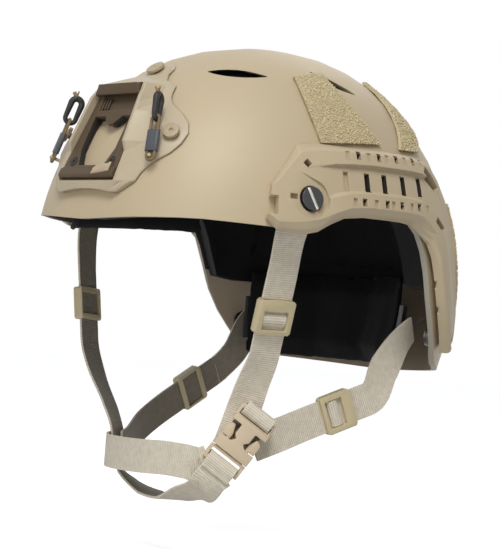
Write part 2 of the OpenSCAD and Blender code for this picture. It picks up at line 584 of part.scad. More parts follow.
// Lanyard axes: foot, direction to the hook and outward normal
lanyard_foot = [wing_half - 8.5, 31];
lanyard_q = [lanyard_foot[0], dome_y(lanyard_foot[0], lanyard_foot[1], 0) - 7.3, lanyard_foot[1]];
lanyard_a = unit([-8.4, 10.2, 39]);
lanyard_n = unit(cross(lanyard_a, cross([0.42, -0.9, 0.05], lanyard_a)));
module shroud_base() {
    color(sand) difference() {
        union() {
            slab(base_grid(true), base_grid(false));
            both_sides() aim(lanyard_q, lanyard_a, lanyard_n) translate([0, 0, -6])
                cylinder(r = post_r, h = 8, $fn = 24);
        }
        both_sides() {
            seat(wing_screw[0], wing_screw[1], 0) cylinder(d = screw_shank_d + 2 * bore_fit, h = 20,
                $fn = 48);
            frame_place() translate([frame_screw[0], frame_screw[1], -12]) cylinder(d = 3.4, h = 30,
                $fn = 32);
        }
        seat(top_screw[0], top_screw[1], 0) cylinder(d = screw_shank_d + 2 * bore_fit, h = 20,
            $fn = 48);
        frame_place() translate([0, 0, -30]) linear_extrude(40) offset(delta = 0.6) frame_window();
        // Arch over the brow at the foot
        translate([0, frame_y, frame_foot_z - 8.4 + arch_h - arch_r]) rotate([90, 0, 0])
            cylinder(r = arch_r, h = 40, center = true, $fn = 360);
    }
}

arch_h = 1.9;
arch_half = 22;
arch_r = (arch_half * arch_half + arch_h * arch_h) / (2 * arch_h);
bar_h = 7;
bar_out = 1.6;
recess_d = 1.6;
rib_h = 1.4;
rib_root = 0.3;
module frame_outline() {
    polygon([[-frame_w / 2, 0], [frame_w / 2, 0], [frame_w / 2, foot_h], [lip_w / 2, frame_h - lip_h],
        [frame_top_w / 2, frame_h], [-frame_top_w / 2, frame_h], [-lip_w / 2, frame_h - lip_h],
        [-frame_w / 2, foot_h]]);
}
// Window with a wavy tab at its head
module frame_window() {
    foot_half = frame_w / 2 - 13.5;
    knee_half = frame_w / 2 - 9.2;
    head_half = lip_w / 2 - 4;
    head = frame_h - 21;
    polygon([[-foot_half, bar_h + 1], [foot_half, bar_h + 1], [knee_half, 19], [head_half, head],
        [9.5, head], [6.5, head - 2.5], [3.3, head - 5.3], [-1.6, head - 5.4], [-5, head - 2.5],
        [-6.6, head], [-head_half, head], [-knee_half, 19]]);
}
module shroud_frame() {
    color(earth) frame_place() difference() {
        union() {
            translate([0, 0, -frame_t]) linear_extrude(frame_t) frame_outline();
            intersection() {
                translate([0, 0, -1]) linear_extrude(lip_nose + 2) frame_outline();
                translate([-frame_w, 0, 0]) rotate([90, 0, 90]) linear_extrude(2 * frame_w) union() {
                    polygon([[frame_h - lip_h, -1], [frame_h - lip_h, lip_out],
                        [frame_h - 2.4, lip_nose], [frame_h - 0.4, 1.5], [frame_h, 0], [frame_h, -1]]);
                    polygon([[0, -1], [0, bar_out - 1], [1, bar_out], [bar_h - 2, bar_out],
                        [bar_h, 0], [bar_h, -1]]);
                }
            }
            // Worn wedge at the bar's end
            hull() {
                translate([5.5, 1.5, 0]) cube([1, bar_h - 3, bar_out]);
                translate([12, bar_h - 4, 0]) cube([frame_w / 2 - 15, 5.5, bar_out + 1]);
            }
        }
        translate([0, 0, -frame_t - 1]) linear_extrude(frame_t + 2) frame_window();
        // Recess under the lip and its three ribs
        translate([-frame_top_w / 2 + 1, frame_h - lip_h - 9, -recess_d])
            cube([frame_top_w - 2, 12, recess_d + 2.41]);
        for (m = [0, 1]) mirror([m, 0, 0])
            translate([frame_screw[0], frame_screw[1], -frame_t - 1]) {
                cylinder(d = 3.4, h = 20, $fn = 32);
                translate([0, 0, frame_t]) cylinder(d = 6.4, h = 20, $fn = 40);
            }
    }
    color(earth) frame_place() for (i = [0:2])
        translate([-frame_top_w / 2 + 2.2 + 2.6 * i, frame_h - lip_h - 8, -recess_d - rib_root])
            cube([1.2, 7, rib_h + rib_root]);
}
module screw(place, low, head_d, head_t, shank, drive) {
    seat(place[0], place[1], low) difference() {
        union() {
            cylinder(d = head_d, h = head_t, $fn = 64);
            translate([0, 0, -shank]) cylinder(d = screw_shank_d, h = shank + 1, $fn = 48);
        }
        translate([0, 0, head_t - 1.2]) cylinder(d = drive, h = 3, $fn = 6);
    }
}
module shroud_screws() {
    color(sand) {
        both_sides() screw(wing_screw, wing_t + 0.4, 9.8, 2.2, wing_t + shell_t, 2.6);
        screw(top_screw, strap_t - 0.9, 11.4, 2, shell_t + 4.2, 1.6);
    }
}
module frame_screws() color(earth) both_sides() frame_place()
    translate([frame_screw[0], frame_screw[1], -0.7]) difference() {
        union() {
            cylinder(d = 6, h = 0.9, $fn = 40);
            translate([0, 0, -frame_t - 1.2]) cylinder(d = 3, h = frame_t + 1.4, $fn = 32);
        }
        translate([0, 0, 0.2]) cylinder(d = 2.2, h = 2, $fn = 6);
    }

// Bungee lanyards: a cord loop round a post, a sleeve on it and a hook at its head
cord_run = 23;
sleeve_low = 3;
sleeve_h = 13;
sleeve_r = 1.6;
module lanyard_place() aim(lanyard_q, lanyard_a, lanyard_n) children();
module half_ring(bend, r) rotate_extrude(angle = 180, $fn = 48) translate([bend, 0]) circle(r, $fn = 24);
module lanyard_cord_left() {
    color("#7a6546") lanyard_place() {
        rotate([0, 0, 90]) half_ring(lanyard_bend, lanyard_r);
        for (s = [-1, 1]) translate([0, s * lanyard_bend, 0]) rotate([0, 90, 0])
            cylinder(r = lanyard_r, h = cord_run, $fn = 24);
        translate([cord_run, 0, 0]) rotate([0, 0, -90]) half_ring(lanyard_bend, lanyard_r);
    }
}
module lanyard_sleeve_left() {
    color("#53565e") lanyard_place() translate([sleeve_low, 0, 0]) difference() {
        translate([0, -lanyard_bend, -sleeve_r]) cube([sleeve_h, 2 * lanyard_bend, 2 * sleeve_r]);
        for (s = [-1, 1]) translate([-1, s * lanyard_bend, 0]) rotate([0, 90, 0])
            cylinder(r = lanyard_r + 0.05, h = sleeve_h + 2, $fn = 24);
    }
    color("#53565e") lanyard_place() translate([sleeve_low, 0, 0]) for (s = [-1, 1])
        translate([0, s * lanyard_bend, 0]) rotate([0, 90, 0]) difference() {
            cylinder(r = sleeve_r, h = sleeve_h, $fn = 32);
            translate([0, 0, -1]) cylinder(r = lanyard_r + 0.05, h = sleeve_h + 2, $fn = 24);
        }
}
hook_bend = 3.2;
hook_r = 1.05;
hook_head_r = 1.5;
hook_run = 9;
module lanyard_hook_left() {
    low = cord_run + lanyard_bend - lanyard_r - hook_r - 0.3;
    color(charcoal) lanyard_place() translate([low, 0, 0]) {
        rotate([90, 0, 0]) translate([hook_bend, 0, 0]) {
            rotate([0, 0, 90]) half_ring(hook_bend, hook_r);
            for (s = [-1, 1]) translate([0, s * hook_bend, 0]) rotate([0, 90, 0])
                cylinder(r1 = hook_r, r2 = hook_head_r, h = hook_run, $fn = 24);
            translate([hook_run, 0, 0]) rotate([0, 0, -90]) half_ring(hook_bend, hook_head_r);
        }
    }
}
module lanyard_cord_right() mirror([1, 0, 0]) lanyard_cord_left();
module lanyard_sleeve_right() mirror([1, 0, 0]) lanyard_sleeve_left();
module lanyard_hook_right() mirror([1, 0, 0]) lanyard_hook_left();

// Webbing swept along a route, its face along the given normals
module webbing(q, faces_to, steps, w, t) {
    c = curve(q, steps);
    f = curve(faces_to, steps);
    last = len(c) - 1;
    dirs = [for (i = [0:last]) unit(c[min(i + 1, last)] - c[max(i - 1, 0)])];
    wide = [for (i = [0:last]) unit(cross(f[i], dirs[i]))];
    out = [for (i = [0:last]) cross(dirs[i], wide[i])];
    slab([for (i = [0:last]) [for (s = [-1, 1]) c[i] + wide[i] * s * w / 2 + out[i] * t / 2]],
        [for (i = [0:last]) [for (s = [-1, 1]) c[i] + wide[i] * s * w / 2 - out[i] * t / 2]]);
}
// Straight run of a strap through a slider: four points in line, the middle two framing it
slider_l = 20.5;
run_half = slider_l / 2 + slider_travel + 1;
function run(q, a) = [q - a * (run_half + 6), q - a * run_half, q + a * run_half,
    q + a * (run_half + 6)];
function four(v) = [v, v, v, v];

front_left_q = [76.5, -40.7, -53.6];
front_left_a = unit([-15.5, 3.3, -56.5]);
front_left_n = [0.98, -0.2, 0];
front_right_q = [-88.5, -48.5, -54];
front_right_a = unit([5, 0.5, -30]);
front_right_n = [-0.93, -0.36, 0];
rear_left_q = [73.7, 19.5, -107.2];
rear_left_a = unit([-15, -52.8, -22.5]);
rear_left_n = [0.95, -0.28, 0];
rear_right_q = [-78, 34, -104];
rear_right_a = unit([1, -56, -33]);
rear_right_n = [-0.97, -0.05, 0.1];
top_n = out_dir(front_bolt[0], front_bolt[1]);
function square_to(n, a) = unit(n - a * (n * a));
front_left_n_true = square_to(front_left_n, front_left_a);
front_right_n_true = square_to(front_right_n, front_right_a);
rear_left_n_true = square_to(rear_left_n, rear_left_a);
rear_right_n_true = square_to(rear_right_n, rear_right_a);
buckle_q = [59, -50.6, -135];
buckle_a = unit([11.3, 15, 28]);
buckle_n = square_to([0.8, -0.6, 0], buckle_a);
function at_buckle(x, y, z) = buckle_q + x * buckle_a + y * cross(buckle_n, buckle_a) + z * buckle_n;

module front_strap_left() {
    color(web_sand) difference() {
        webbing(concat([off_dome(front_bolt[0] + 0.4, front_bolt[1] + 10, strap_d),
                off_dome(front_bolt[0], front_bolt[1], strap_d),
                off_dome(front_bolt[0] - 1.5, front_bolt[1] - 10, strap_d - 1.3)],
            run(front_left_q, front_left_a), [at_buckle(41, 14, -4.2), at_buckle(24, 8, -8.2),
                at_buckle(14, 4.8, -8.2), at_buckle(5, 2, -8.2)]),
            concat([top_n, top_n, top_n], four(front_left_n), [[0.93, -0.37, 0], buckle_n, buckle_n,
                buckle_n]), 3, web_w, web_t);
        seat(front_bolt[0], front_bolt[1], -shell_t - 6) cylinder(d = bolt_shank_d + 2 * bore_fit,
            h = 12, $fn = 48);
    }
}
module front_strap_right() {
    color(web_sand) difference() {
        webbing(concat([off_dome(-front_bolt[0] - 0.4, front_bolt[1] + 10, strap_d),
                off_dome(-front_bolt[0], front_bolt[1], strap_d),
                off_dome(-front_bolt[0] + 1.5, front_bolt[1] - 10, strap_d - 0.5)],
            run(front_right_q, front_right_a), [[-77, -46, -97], [-63.5, -43.4, -118],
                [-57, -42.2, -131], [-55, -42, -140]]),
            concat([for (i = [0:2]) [-top_n[0], top_n[1], top_n[2]]], four(front_right_n),
                [[-0.92, -0.38, 0], [-0.9, -0.43, 0], [-0.87, -0.5, 0], [-0.87, -0.5, 0]]),
            3, web_w, web_t);
        mirror([1, 0, 0]) seat(front_bolt[0], front_bolt[1], -shell_t - 6)
            cylinder(d = bolt_shank_d + 2 * bore_fit, h = 12, $fn = 48);
    }
}
// The rear straps start on the band's ends
band_end = dome(hang_p - 8, band_low + 9, band_d(hang_p - 8) + 2.8);
module rear_strap_left() {
    color(web_sand) webbing(concat([band_end + [0, 6, 5], band_end, [74, 58, -79]],
        run(rear_left_q, rear_left_a), [at_buckle(26, -17.4, -15.2), at_buckle(12, -8.5, -10.8)]),
        concat([[0.8, 0.5, 0], [0.85, 0.3, 0], [0.85, -0.15, 0.35]], four(rear_left_n),
            [[0.88, -0.46, 0], buckle_n]), 3, web_w, web_t);
}
module rear_strap_right() {
    color(web_sand) webbing(concat([[-band_end[0], band_end[1] + 6, band_end[2] + 5],
        [-band_end[0], band_end[1], band_end[2]], [-73, 64, -80]],
        run(rear_right_q, rear_right_a), [[-70, -12, -129], [-55.6, -34.8, -139.5],
            [-51.8, -41.4, -141.5]]),
        concat([[-0.8, 0.5, 0], [-0.85, 0.3, 0], [-0.95, 0.05, 0.1]], four(rear_right_n),
            [[-0.94, -0.3, 0], [-0.87, -0.5, 0], [-0.87, -0.5, 0]]), 3, web_w, web_t);
}
// The chin bands end on the line of the plug's bar
module trimmed() {
    difference() {
        children();
        buckle_place() translate([-10.2, -30, -15]) cube([60, 60, 30]);
    }
}
module chin_band_upper() {
    color(web_sand) trimmed() webbing([[-61, -39.5, -142], [-56, -49, -142.5], [-44, -59, -143],
        [-24, -66, -142.8], [0, -68.7, -142.2], [24, -67, -141.2], [37, -65, -141.6],
        at_buckle(-14.5, 9, -1.05), at_buckle(-8.5, 4.6, -1.05)],
        [[-0.9, -0.42, 0], [-0.8, -0.6, 0], [-0.55, -0.83, 0], [-0.24, -0.97, 0], [0, -1, 0],
            [0.16, -0.99, 0], [0.35, -0.94, 0], buckle_n, buckle_n], 4, web_w, web_t);
}
module chin_band_lower() {
    color(web_sand) trimmed() webbing([[-42, -55.6, -146.5], [-31, -53, -157], [-10, -50.5, -165],
        [11, -52, -166.3], [31, -56, -161], at_buckle(-25, -1, -2.2), at_buckle(-17, -0.5, 1.15),
            at_buckle(-8, -3, 1.05)],
        [[-0.55, -0.83, 0], [-0.5, -0.4, -0.75], [-0.2, 0, -1], [0.12, -0.05, -1],
            [0.4, -0.4, -0.85], [0.7, -0.6, -0.3], buckle_n, buckle_n], 4, web_w, web_t);
}

// Sliders: a windowed frame outside the webbing, with cheeks and two bars behind it
slider_rim = 1.3;
slider_front_t = 2.4;
bar_t = 1.2;
head_bar = 6.5;
window_l = 11.5;
window_w = web_w - 3.5;
module slider() {
    inner = web_w + 2 * web_gap;
    low = web_t / 2 + web_gap;
    outer_w = inner + 2 * slider_rim;
    difference() {
        translate([-slider_l / 2, -outer_w / 2, -low - bar_t])
            cube([slider_l, outer_w, 2 * low + bar_t + slider_front_t]);
        translate([-slider_l, -inner / 2, -low]) cube([2 * slider_l, inner, 2 * low]);
        translate([-slider_l / 2 + 3.5, -inner / 2, -low - bar_t - 1])
            cube([slider_l - 7, inner, bar_t + 2]);
        translate([-slider_l / 2 + head_bar, -window_w / 2, 0]) cube([window_l, window_w, 20]);
        for (sx = [-1, 1], sy = [-1, 1])
            translate([sx * slider_l / 2, sy * outer_w / 2, 0]) rotate([0, 0, 45])
                cube([1.8, 1.8, 20], center = true);
    }
}
// The webbing's turn over the slider's bar, seen in the window
module slider_turn() {
    low = web_t / 2 + web_gap + 0.05;
    translate([-slider_l / 2 + head_bar + window_l / 2, 0, low]) intersection() {
        translate([0, 0, -3]) rotate([90, 0, 0]) cylinder(r = slider_front_t + 2.7,
            h = window_w - 2 * soft_gap, center = true, $fn = 64);
        translate([-window_l / 2 + 0.6, -window_w / 2, 0]) cube([window_l - 1.2, window_w, 6]);
    }
}
module front_left_place() aim(front_left_q, front_left_a, front_left_n_true) children();
module front_right_place() aim(front_right_q, front_right_a, front_right_n_true) children();
module rear_left_place() aim(rear_left_q, rear_left_a, rear_left_n_true) children();
module rear_right_place() aim(rear_right_q, rear_right_a, rear_right_n_true) children();
module front_slider_left() color("#c9ba94") front_left_place() slider();
module front_slider_right() color("#c9ba94") front_right_place() slider();
module rear_slider_left() color("#c9ba94") rear_left_place() slider();
module rear_slider_right() color("#c9ba94") rear_right_place() slider();
module front_turn_left() color(web_sand) front_left_place() slider_turn();
module front_turn_right() color(web_sand) front_right_place() slider_turn();
module rear_turn_left() color(web_sand) rear_left_place() slider_turn();
module rear_turn_right() color(web_sand) rear_right_place() slider_turn();

// Side-release buckle: X along it from the plug to the socket, Z out of its face
buckle_w = 24;
buckle_t = 9;
socket_l = 22.5;
socket_wall = 1.8;
bar_l = 6.5;
catch_x = 7;
window_end_x = socket_l - 4.5;
prong_out = 11.7;
prong_l = 16;
prong_t = 4.6;
prong_root_y = 6.6;
prong_root_r = 1.5;
prong_swing = 8;
module buckle_place() aim(buckle_q, buckle_a, buckle_n) children();
module buckle_female() {
    mouth = buckle_w - 2 * socket_wall;
    color("#cdbd9c") buckle_place() difference() {
        translate([0, -buckle_w / 2, -buckle_t / 2]) cube([socket_l + bar_l, buckle_w, buckle_t]);
        translate([-1, -mouth / 2, -buckle_t / 2 + socket_wall])
            cube([socket_l - 4, mouth, buckle_t - 2 * socket_wall]);
        for (s = [0, 1]) mirror([0, s, 0]) {
            translate([catch_x, 5, -buckle_t]) cube([window_end_x - catch_x, buckle_w, 2 * buckle_t]);
            translate([catch_x, 5, -buckle_t]) rotate([0, 0, -45]) cube([3.4, 12, 2 * buckle_t]);
        }
        translate([socket_l, -web_w / 2 - 0.3, -buckle_t]) cube([bar_l - 3, web_w + 0.6, 2 * buckle_t]);
        for (s = [-1, 1]) translate([socket_l - 1, -buckle_w, s * buckle_t / 2 - (s + 1) * 1.2])
            cube([bar_l + 2, 2 * buckle_w, 2.4]);
    }
}
module buckle_male() {
    color("#cdbd9c") buckle_place() difference() {
        union() {
            translate([-9.6, -buckle_w / 2, -3]) cube([9.2, buckle_w, 6]);
            translate([-1, -3, -1.5]) cube([11.5, 6, 3]);
            for (s = [-1, 1]) translate([-1, s * prong_root_y - 3, -prong_t / 2])
                cube([3.4, 6, prong_t]);
        }
        translate([-6.8, -web_w / 2 - 0.3, -4]) cube([4.6, web_w + 0.6, 8]);
        for (s = [-1, 1]) translate([1.6, s * prong_root_y, -4]) {
            cylinder(r = prong_root_r + 0.06, h = 8, $fn = 48);
            translate([0, -1.6, 0]) cube([4, 3.2, 8]);
        }
    }
}
// One prong from its root: an arm with a barb whose back catches the socket
module prong() {
    translate([1.6, prong_root_y, -prong_t / 2]) cylinder(r = prong_root_r, h = prong_t, $fn = 48);
    translate([0, 0, -prong_t / 2]) linear_extrude(prong_t) polygon([[1.6, prong_root_y - 0.9],
        [prong_l - 5, prong_root_y - 0.9], [prong_l, prong_root_y + 1.2], [prong_l, prong_out - 2.2],
        [prong_l - 2, prong_out], [catch_x + 0.5, prong_out], [catch_x + 0.5, prong_root_y + 1.5],
        [catch_x - 1.6, prong_root_y + 0.9], [1.6, prong_root_y + 0.9]]);
}
module prong_front() color("#cdbd9c") buckle_place() prong();
module prong_rear() color("#cdbd9c") buckle_place() mirror([0, 1, 0]) prong();

// Sewn loops round the buckle's bars, as routes in the buckle's own X and Z
module web_loop(route) {
    last = len(route) - 1;
    q = [for (r = route) [r[0], 0, r[1]]];
    n = [for (i = [0:last]) let(d = unit(q[min(i + 1, last)] - q[max(i - 1, 0)])) [-d[2], 0, d[0]]];
    color(web_sand) buckle_place() webbing(q, n, 2, web_w - 0.6, web_t);
}
module buckle_loop() {
    bar_x = socket_l + bar_l - 1.5;
    web_loop([[bar_x - 18, -5.8], [bar_x - 8, -5.8], [bar_x, -5.2], [bar_x + 3.4, -3], [bar_x + 3.8, 0],
        [bar_x + 2.6, 3], [bar_x, 3.6], [bar_x - 2.8, 2.8], [bar_x - 3.75, 0.3],
        [bar_x - 3.75, -2.4]]);
}
module chin_loop() web_loop([[-14.5, -3.2], [-12.5, -3.4], [-9.6, -4.3], [-6.6, -4], [-4.6, -2.2],
    [-4.5, 0], [-4.6, 2.2], [-6.6, 4], [-9.6, 4.3], [-12.5, 3.4], [-14.5, 3.2]]);

shell();
impact_liner();
brow_pad();
side_pad_left();
side_pad_right();
rear_pad();
crown_pad();
nape_pad();
fit_band();
band_hangers();
dial_housing();
dial_knob();
fit_laces();
loop_patch_left();
loop_patch_right();
loop_patch_rear_left();
loop_patch_rear_right();
loop_patch_nape();
rail_left();
rail_right();
front_bolts();
anchor_nuts();
rear_bolts();
shroud_base();
shroud_frame();
shroud_screws();
frame_screws();
lanyard_cord_left();
lanyard_sleeve_left();
lanyard_hook_left();
lanyard_cord_right();
lanyard_sleeve_right();
lanyard_hook_right();
front_strap_left();
front_strap_right();
rear_strap_left();
rear_strap_right();
chin_band_upper();
chin_band_lower();
buckle_loop();
chin_loop();
front_slider_left();
front_slider_right();
rear_slider_left();
rear_slider_right();
front_turn_left();
front_turn_right();
rear_turn_left();
rear_turn_right();
buckle_female();
buckle_male();
prong_front();
prong_rear();
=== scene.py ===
import math
import random
import bmesh
import bpy
from mathutils import Matrix, Vector
from mathutils.bvhtree import BVHTree


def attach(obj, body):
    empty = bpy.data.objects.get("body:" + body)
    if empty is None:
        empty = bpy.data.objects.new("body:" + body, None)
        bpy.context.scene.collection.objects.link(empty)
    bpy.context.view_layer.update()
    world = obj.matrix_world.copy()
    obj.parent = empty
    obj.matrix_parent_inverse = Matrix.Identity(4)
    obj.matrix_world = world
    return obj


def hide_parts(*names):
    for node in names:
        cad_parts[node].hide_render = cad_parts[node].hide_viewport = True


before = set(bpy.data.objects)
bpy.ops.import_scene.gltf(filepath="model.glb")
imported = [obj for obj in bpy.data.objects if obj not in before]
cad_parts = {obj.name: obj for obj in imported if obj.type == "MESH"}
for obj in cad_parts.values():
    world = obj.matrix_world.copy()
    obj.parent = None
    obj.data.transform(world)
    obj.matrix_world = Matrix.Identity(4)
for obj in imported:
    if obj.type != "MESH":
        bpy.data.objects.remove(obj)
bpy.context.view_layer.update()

scene = bpy.context.scene

# Camera, light and floor
# The camera stands low at the wearer's front left, far back on a long lens, slightly rolled.
# A pale floor lies under the chin bands; a large soft lamp hangs over the brow.
scene.view_settings.view_transform = "Standard"


def new_object(name, data):
    """An object in the scene that holds the data."""
    made = bpy.data.objects.new(name, data)
    scene.collection.objects.link(made)
    return made


azimuth, elevation, roll = (math.radians(v) for v in (47.832, -1.542, 4.466))
aim, distance = Vector((0.009093, 0, -0.028445)), 1.17077
back = Vector((math.sin(azimuth) * math.cos(elevation), -math.cos(azimuth) * math.cos(elevation),
               math.sin(elevation)))
right = Vector((0, 0, 1)).cross(back).normalized()
up = back.cross(right)
tilted_right = right * math.cos(roll) + up * math.sin(roll)
tilted_up = -right * math.sin(roll) + up * math.cos(roll)
camera = new_object("camera", bpy.data.cameras.new("camera"))
camera.data.lens = 124.27
camera.data.sensor_width = 36
camera.data.clip_end = 30
camera.matrix_world = Matrix.Translation(aim + back * distance) @ Matrix(
    (tilted_right, tilted_up, back)).transposed().to_4x4()
scene.camera = camera


def lamp(name, place, size, energy):
    """A round soft lamp that shines on the origin."""
    light = bpy.data.lights.new(name, "AREA")
    light.shape = "DISK"
    light.size = size
    light.energy = energy
    place = Vector(place)
    facing = place.to_track_quat("Z", "Y").to_matrix().to_4x4()
    new_object(name, light).matrix_world = Matrix.Translation(place) @ facing


lamp("key_over_brow", (0.85, -0.92, 1.42), 1.0, 24)
lamp("fill_below", (0.5, -1.5, -0.12), 0.9, 6.5)
lamp("rim_behind", (-0.7, 1.2, 1.1), 0.8, 2)


def feed(tree, value, socket):
    """Links another node's output to the socket, or sets the socket to a plain value."""
    if isinstance(value, bpy.types.NodeSocket):
        tree.links.new(value, socket)
    else:
        socket.default_value = value


def wire(tree, made, **settings):
    """Sets a node's properties and feeds its inputs, named with _ for a space."""
    for key, value in settings.items():
        if hasattr(made, key):
            setattr(made, key, value)
        else:
            feed(tree, value, made.inputs[key.replace("_", " ")])


def node(tree, kind, place, **settings):
    """A shader node with its properties set and its inputs fed."""
    made = tree.nodes.new("ShaderNode" + kind)
    made.location = place
    wire(tree, made, **settings)
    return made


def worked(tree, place, operation, *values):
    """The result of a Math node, fed with numbers or with other nodes' outputs."""
    made = node(tree, "Math", place, operation=operation)
    for value, socket in zip(values, made.inputs):
        feed(tree, value, socket)
    return made.outputs[0]


def seen_white(tree, white, lit, output):
    """Shows white to the camera, to gloss and through glass, and lit to everything else."""
    path = node(tree, "LightPath", (-800, 200)).outputs
    seen = worked(tree, (-600, 200), "MAXIMUM", path["Is Camera Ray"], path["Is Glossy Ray"])
    seen = worked(tree, (-400, 200), "MAXIMUM", seen, path["Is Transmission Ray"])
    mix = node(tree, "MixShader", (200, 0))
    for value, socket in zip((seen, lit.outputs[0], white.outputs[0]), mix.inputs):
        tree.links.new(value, socket)
    node(tree, output, (400, 0), Surface=mix.outputs[0])


def new_paint(name):
    """A material and its node tree."""
    paint = bpy.data.materials.new(name)
    paint.use_nodes = True
    return paint, paint.node_tree


world = bpy.data.worlds.new("studio")
scene.world = world
world.use_nodes = True
world.node_tree.nodes.clear()
sky = node(world.node_tree, "Background", (0, 0), Color=(0.97, 0.985, 1, 1), Strength=0.27)
white = node(world.node_tree, "Background", (0, 200), Color=(1, 1, 1, 1), Strength=1)
seen_white(world.node_tree, white, sky, "OutputWorld")

# The floor throws less light up at the helmet than it shows; its height is in metres
floor_height = -0.2
floor_shape = bmesh.new()
bmesh.ops.create_grid(floor_shape, x_segments=1, y_segments=1, size=4)
bmesh.ops.translate(floor_shape, verts=floor_shape.verts, vec=(0, 0, floor_height))
floor = new_object("floor", bpy.data.meshes.new("floor"))
floor_shape.to_mesh(floor.data)
floor_shape.free()
floor_paint, floor_tree = new_paint("floor_white")
floor_tree.nodes.clear()
matt = node(floor_tree, "BsdfDiffuse", (0, 0), Color=(0.86, 0.86, 0.86, 1))
dimmer = node(floor_tree, "BsdfDiffuse", (0, -200), Color=(0.6, 0.6, 0.6, 1))
glow = node(floor_tree, "Emission", (0, 200), Strength=0.75)
both = node(floor_tree, "AddShader", (150, 100))
for shader, socket in zip((matt, glow), both.inputs):
    floor_tree.links.new(shader.outputs[0], socket)
seen_white(floor_tree, both, dimmer, "OutputMaterial")
floor.data.materials.append(floor_paint)

# Shell
# A moulded composite wall 3.2 mm thick under satin sand paint, cut high over the ears. Its rim
# shows the wall's bare edge, grey from the temples to the nape and black over the brow. Under the
# rails and in front of the ear legs it is painted near black as painted shade.
mm = 0.001


def taken_from(name):
    """The CAD node's own shape with its loose triangles joined."""
    shape = bmesh.new()
    shape.from_mesh(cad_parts[name].data)
    bmesh.ops.remove_doubles(shape, verts=shape.verts, dist=0.004 * mm)
    bmesh.ops.dissolve_degenerate(shape, edges=shape.edges, dist=0.002 * mm)
    return shape


def piece(shape, name, body, replaced, finishes, crease=32):
    """Makes the bmesh a piece that rides on the body and stands for the replaced nodes."""
    for face in shape.faces:
        face.smooth = True
    for edge in shape.edges:
        edge.smooth = len(edge.link_faces) == 2 and edge.calc_face_angle(0) < math.radians(crease)
    made = new_object(name, bpy.data.meshes.new(name))
    shape.to_mesh(made.data)
    shape.free()
    for finish in finishes:
        made.data.materials.append(finish)
    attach(made, body)
    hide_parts(*replaced)
    return made


def node_group(name, inputs, outputs):
    """An empty shader group, with each input's name and value and each output's name and kind."""
    group = bpy.data.node_groups.new(name, "ShaderNodeTree")
    for label, value in inputs:
        group.interface.new_socket(label, in_out="INPUT",
                                   socket_type="NodeSocketFloat").default_value = value
    for label, kind in outputs:
        group.interface.new_socket(label, in_out="OUTPUT", socket_type="NodeSocket" + kind)
    return group, group.nodes.new("NodeGroupInput"), group.nodes.new("NodeGroupOutput")


def mixed(tree, place, factor, first, second):
    """A colour between two; the first may be another node's output."""
    mix = node(tree, "Mix", place, data_type="RGBA")
    feed(tree, factor, mix.inputs[0])
    feed(tree, first if isinstance(first, bpy.types.NodeSocket) else (*first, 1), mix.inputs[6])
    feed(tree, (*second, 1), mix.inputs[7])
    return mix.outputs[2]


# Grain: unevenness of a moulded or sprayed surface, with slow drifts of tone
grain, grain_in, grain_out = node_group("moulded_grain", [("Fine Scale", 900), ("Drift Scale", 14)],
                                        [("Height", "Float"), ("Drift", "Float")])
grain_place = node(grain, "TexCoord", (-700, 0)).outputs["Object"]
for label, scale, detail, row in (("Height", "Fine Scale", 3, 200), ("Drift", "Drift Scale", 4, 0)):
    field = node(grain, "TexNoise", (-400, row), Detail=detail, Vector=grain_place,
                 Scale=grain_in.outputs[scale])
    grain.links.new(field.outputs["Fac"], grain_out.inputs[label])

# Edges: how far a place lies on a worn or rounded edge, and the rounded normal there
edges, edges_in, edges_out = node_group("softened_edges", [("Radius", 0.0006), ("Wear", 1)],
                                        [("Edge", "Float"), ("Normal", "Vector")])
soft = node(edges, "Bevel", (-500, 0), samples=4, Radius=edges_in.outputs["Radius"])
true = node(edges, "NewGeometry", (-500, -200))
facing = node(edges, "VectorMath", (-300, 0), operation="DOT_PRODUCT")
edges.links.new(soft.outputs[0], facing.inputs[0])
edges.links.new(true.outputs["Normal"], facing.inputs[1])
on_edge = node(edges, "MapRange", (-100, 0), From_Min=0.995, From_Max=0.9,
               Value=facing.outputs["Value"])
rub = node(edges, "TexNoise", (-300, 250), Scale=160, Detail=3,
           Vector=node(edges, "TexCoord", (-500, 250)).outputs["Object"])
rubbed = worked(edges, (100, 100), "MULTIPLY", on_edge.outputs[0], rub.outputs["Fac"])
scaled = worked(edges, (250, 100), "MULTIPLY", rubbed, edges_in.outputs["Wear"])
wire(edges, edges_out, Edge=scaled, Normal=soft.outputs[0])
glossiest, gloss_spread = 0.05, 0.09


def moulded(name, colour, worn, rough, depth=0.04, fine=900, drift=0.06, radius=0.5, wear=0.7,
            metallic=0, specular=0.5, drift_scale=14):
    """Plastic, paint or metal: grain in its gloss and height, slow drifts and rubbed edges, whose
    pale colour on some pieces is partly painted highlight.
    """
    paint, tree = new_paint(name)
    grained = node(tree, "Group", (-900, 0), node_tree=grain, Fine_Scale=fine,
                   Drift_Scale=drift_scale).outputs
    edged = node(tree, "Group", (-900, -250), node_tree=edges, Radius=radius * mm,
                 Wear=wear).outputs
    toned = mixed(tree, (-600, 100), grained["Drift"], [c * (1 - drift) for c in colour],
                  [min(1, c * (1 + drift)) for c in colour])
    edge_wear_and_highlight = mixed(tree, (-400, 100), edged["Edge"], toned, worn)
    gloss = node(tree, "MapRange", (-400, -100), To_Min=max(glossiest, rough - gloss_spread),
                 To_Max=rough + gloss_spread, Value=grained["Height"])
    bump = node(tree, "Bump", (-300, -300), Strength=1, Distance=depth * mm,
                Height=grained["Height"], Normal=edged["Normal"])
    wire(tree, tree.nodes["Principled BSDF"], Metallic=metallic, Specular_IOR_Level=specular,
         Base_Color=edge_wear_and_highlight, Roughness=gloss.outputs[0], Normal=bump.outputs[0])
    return paint


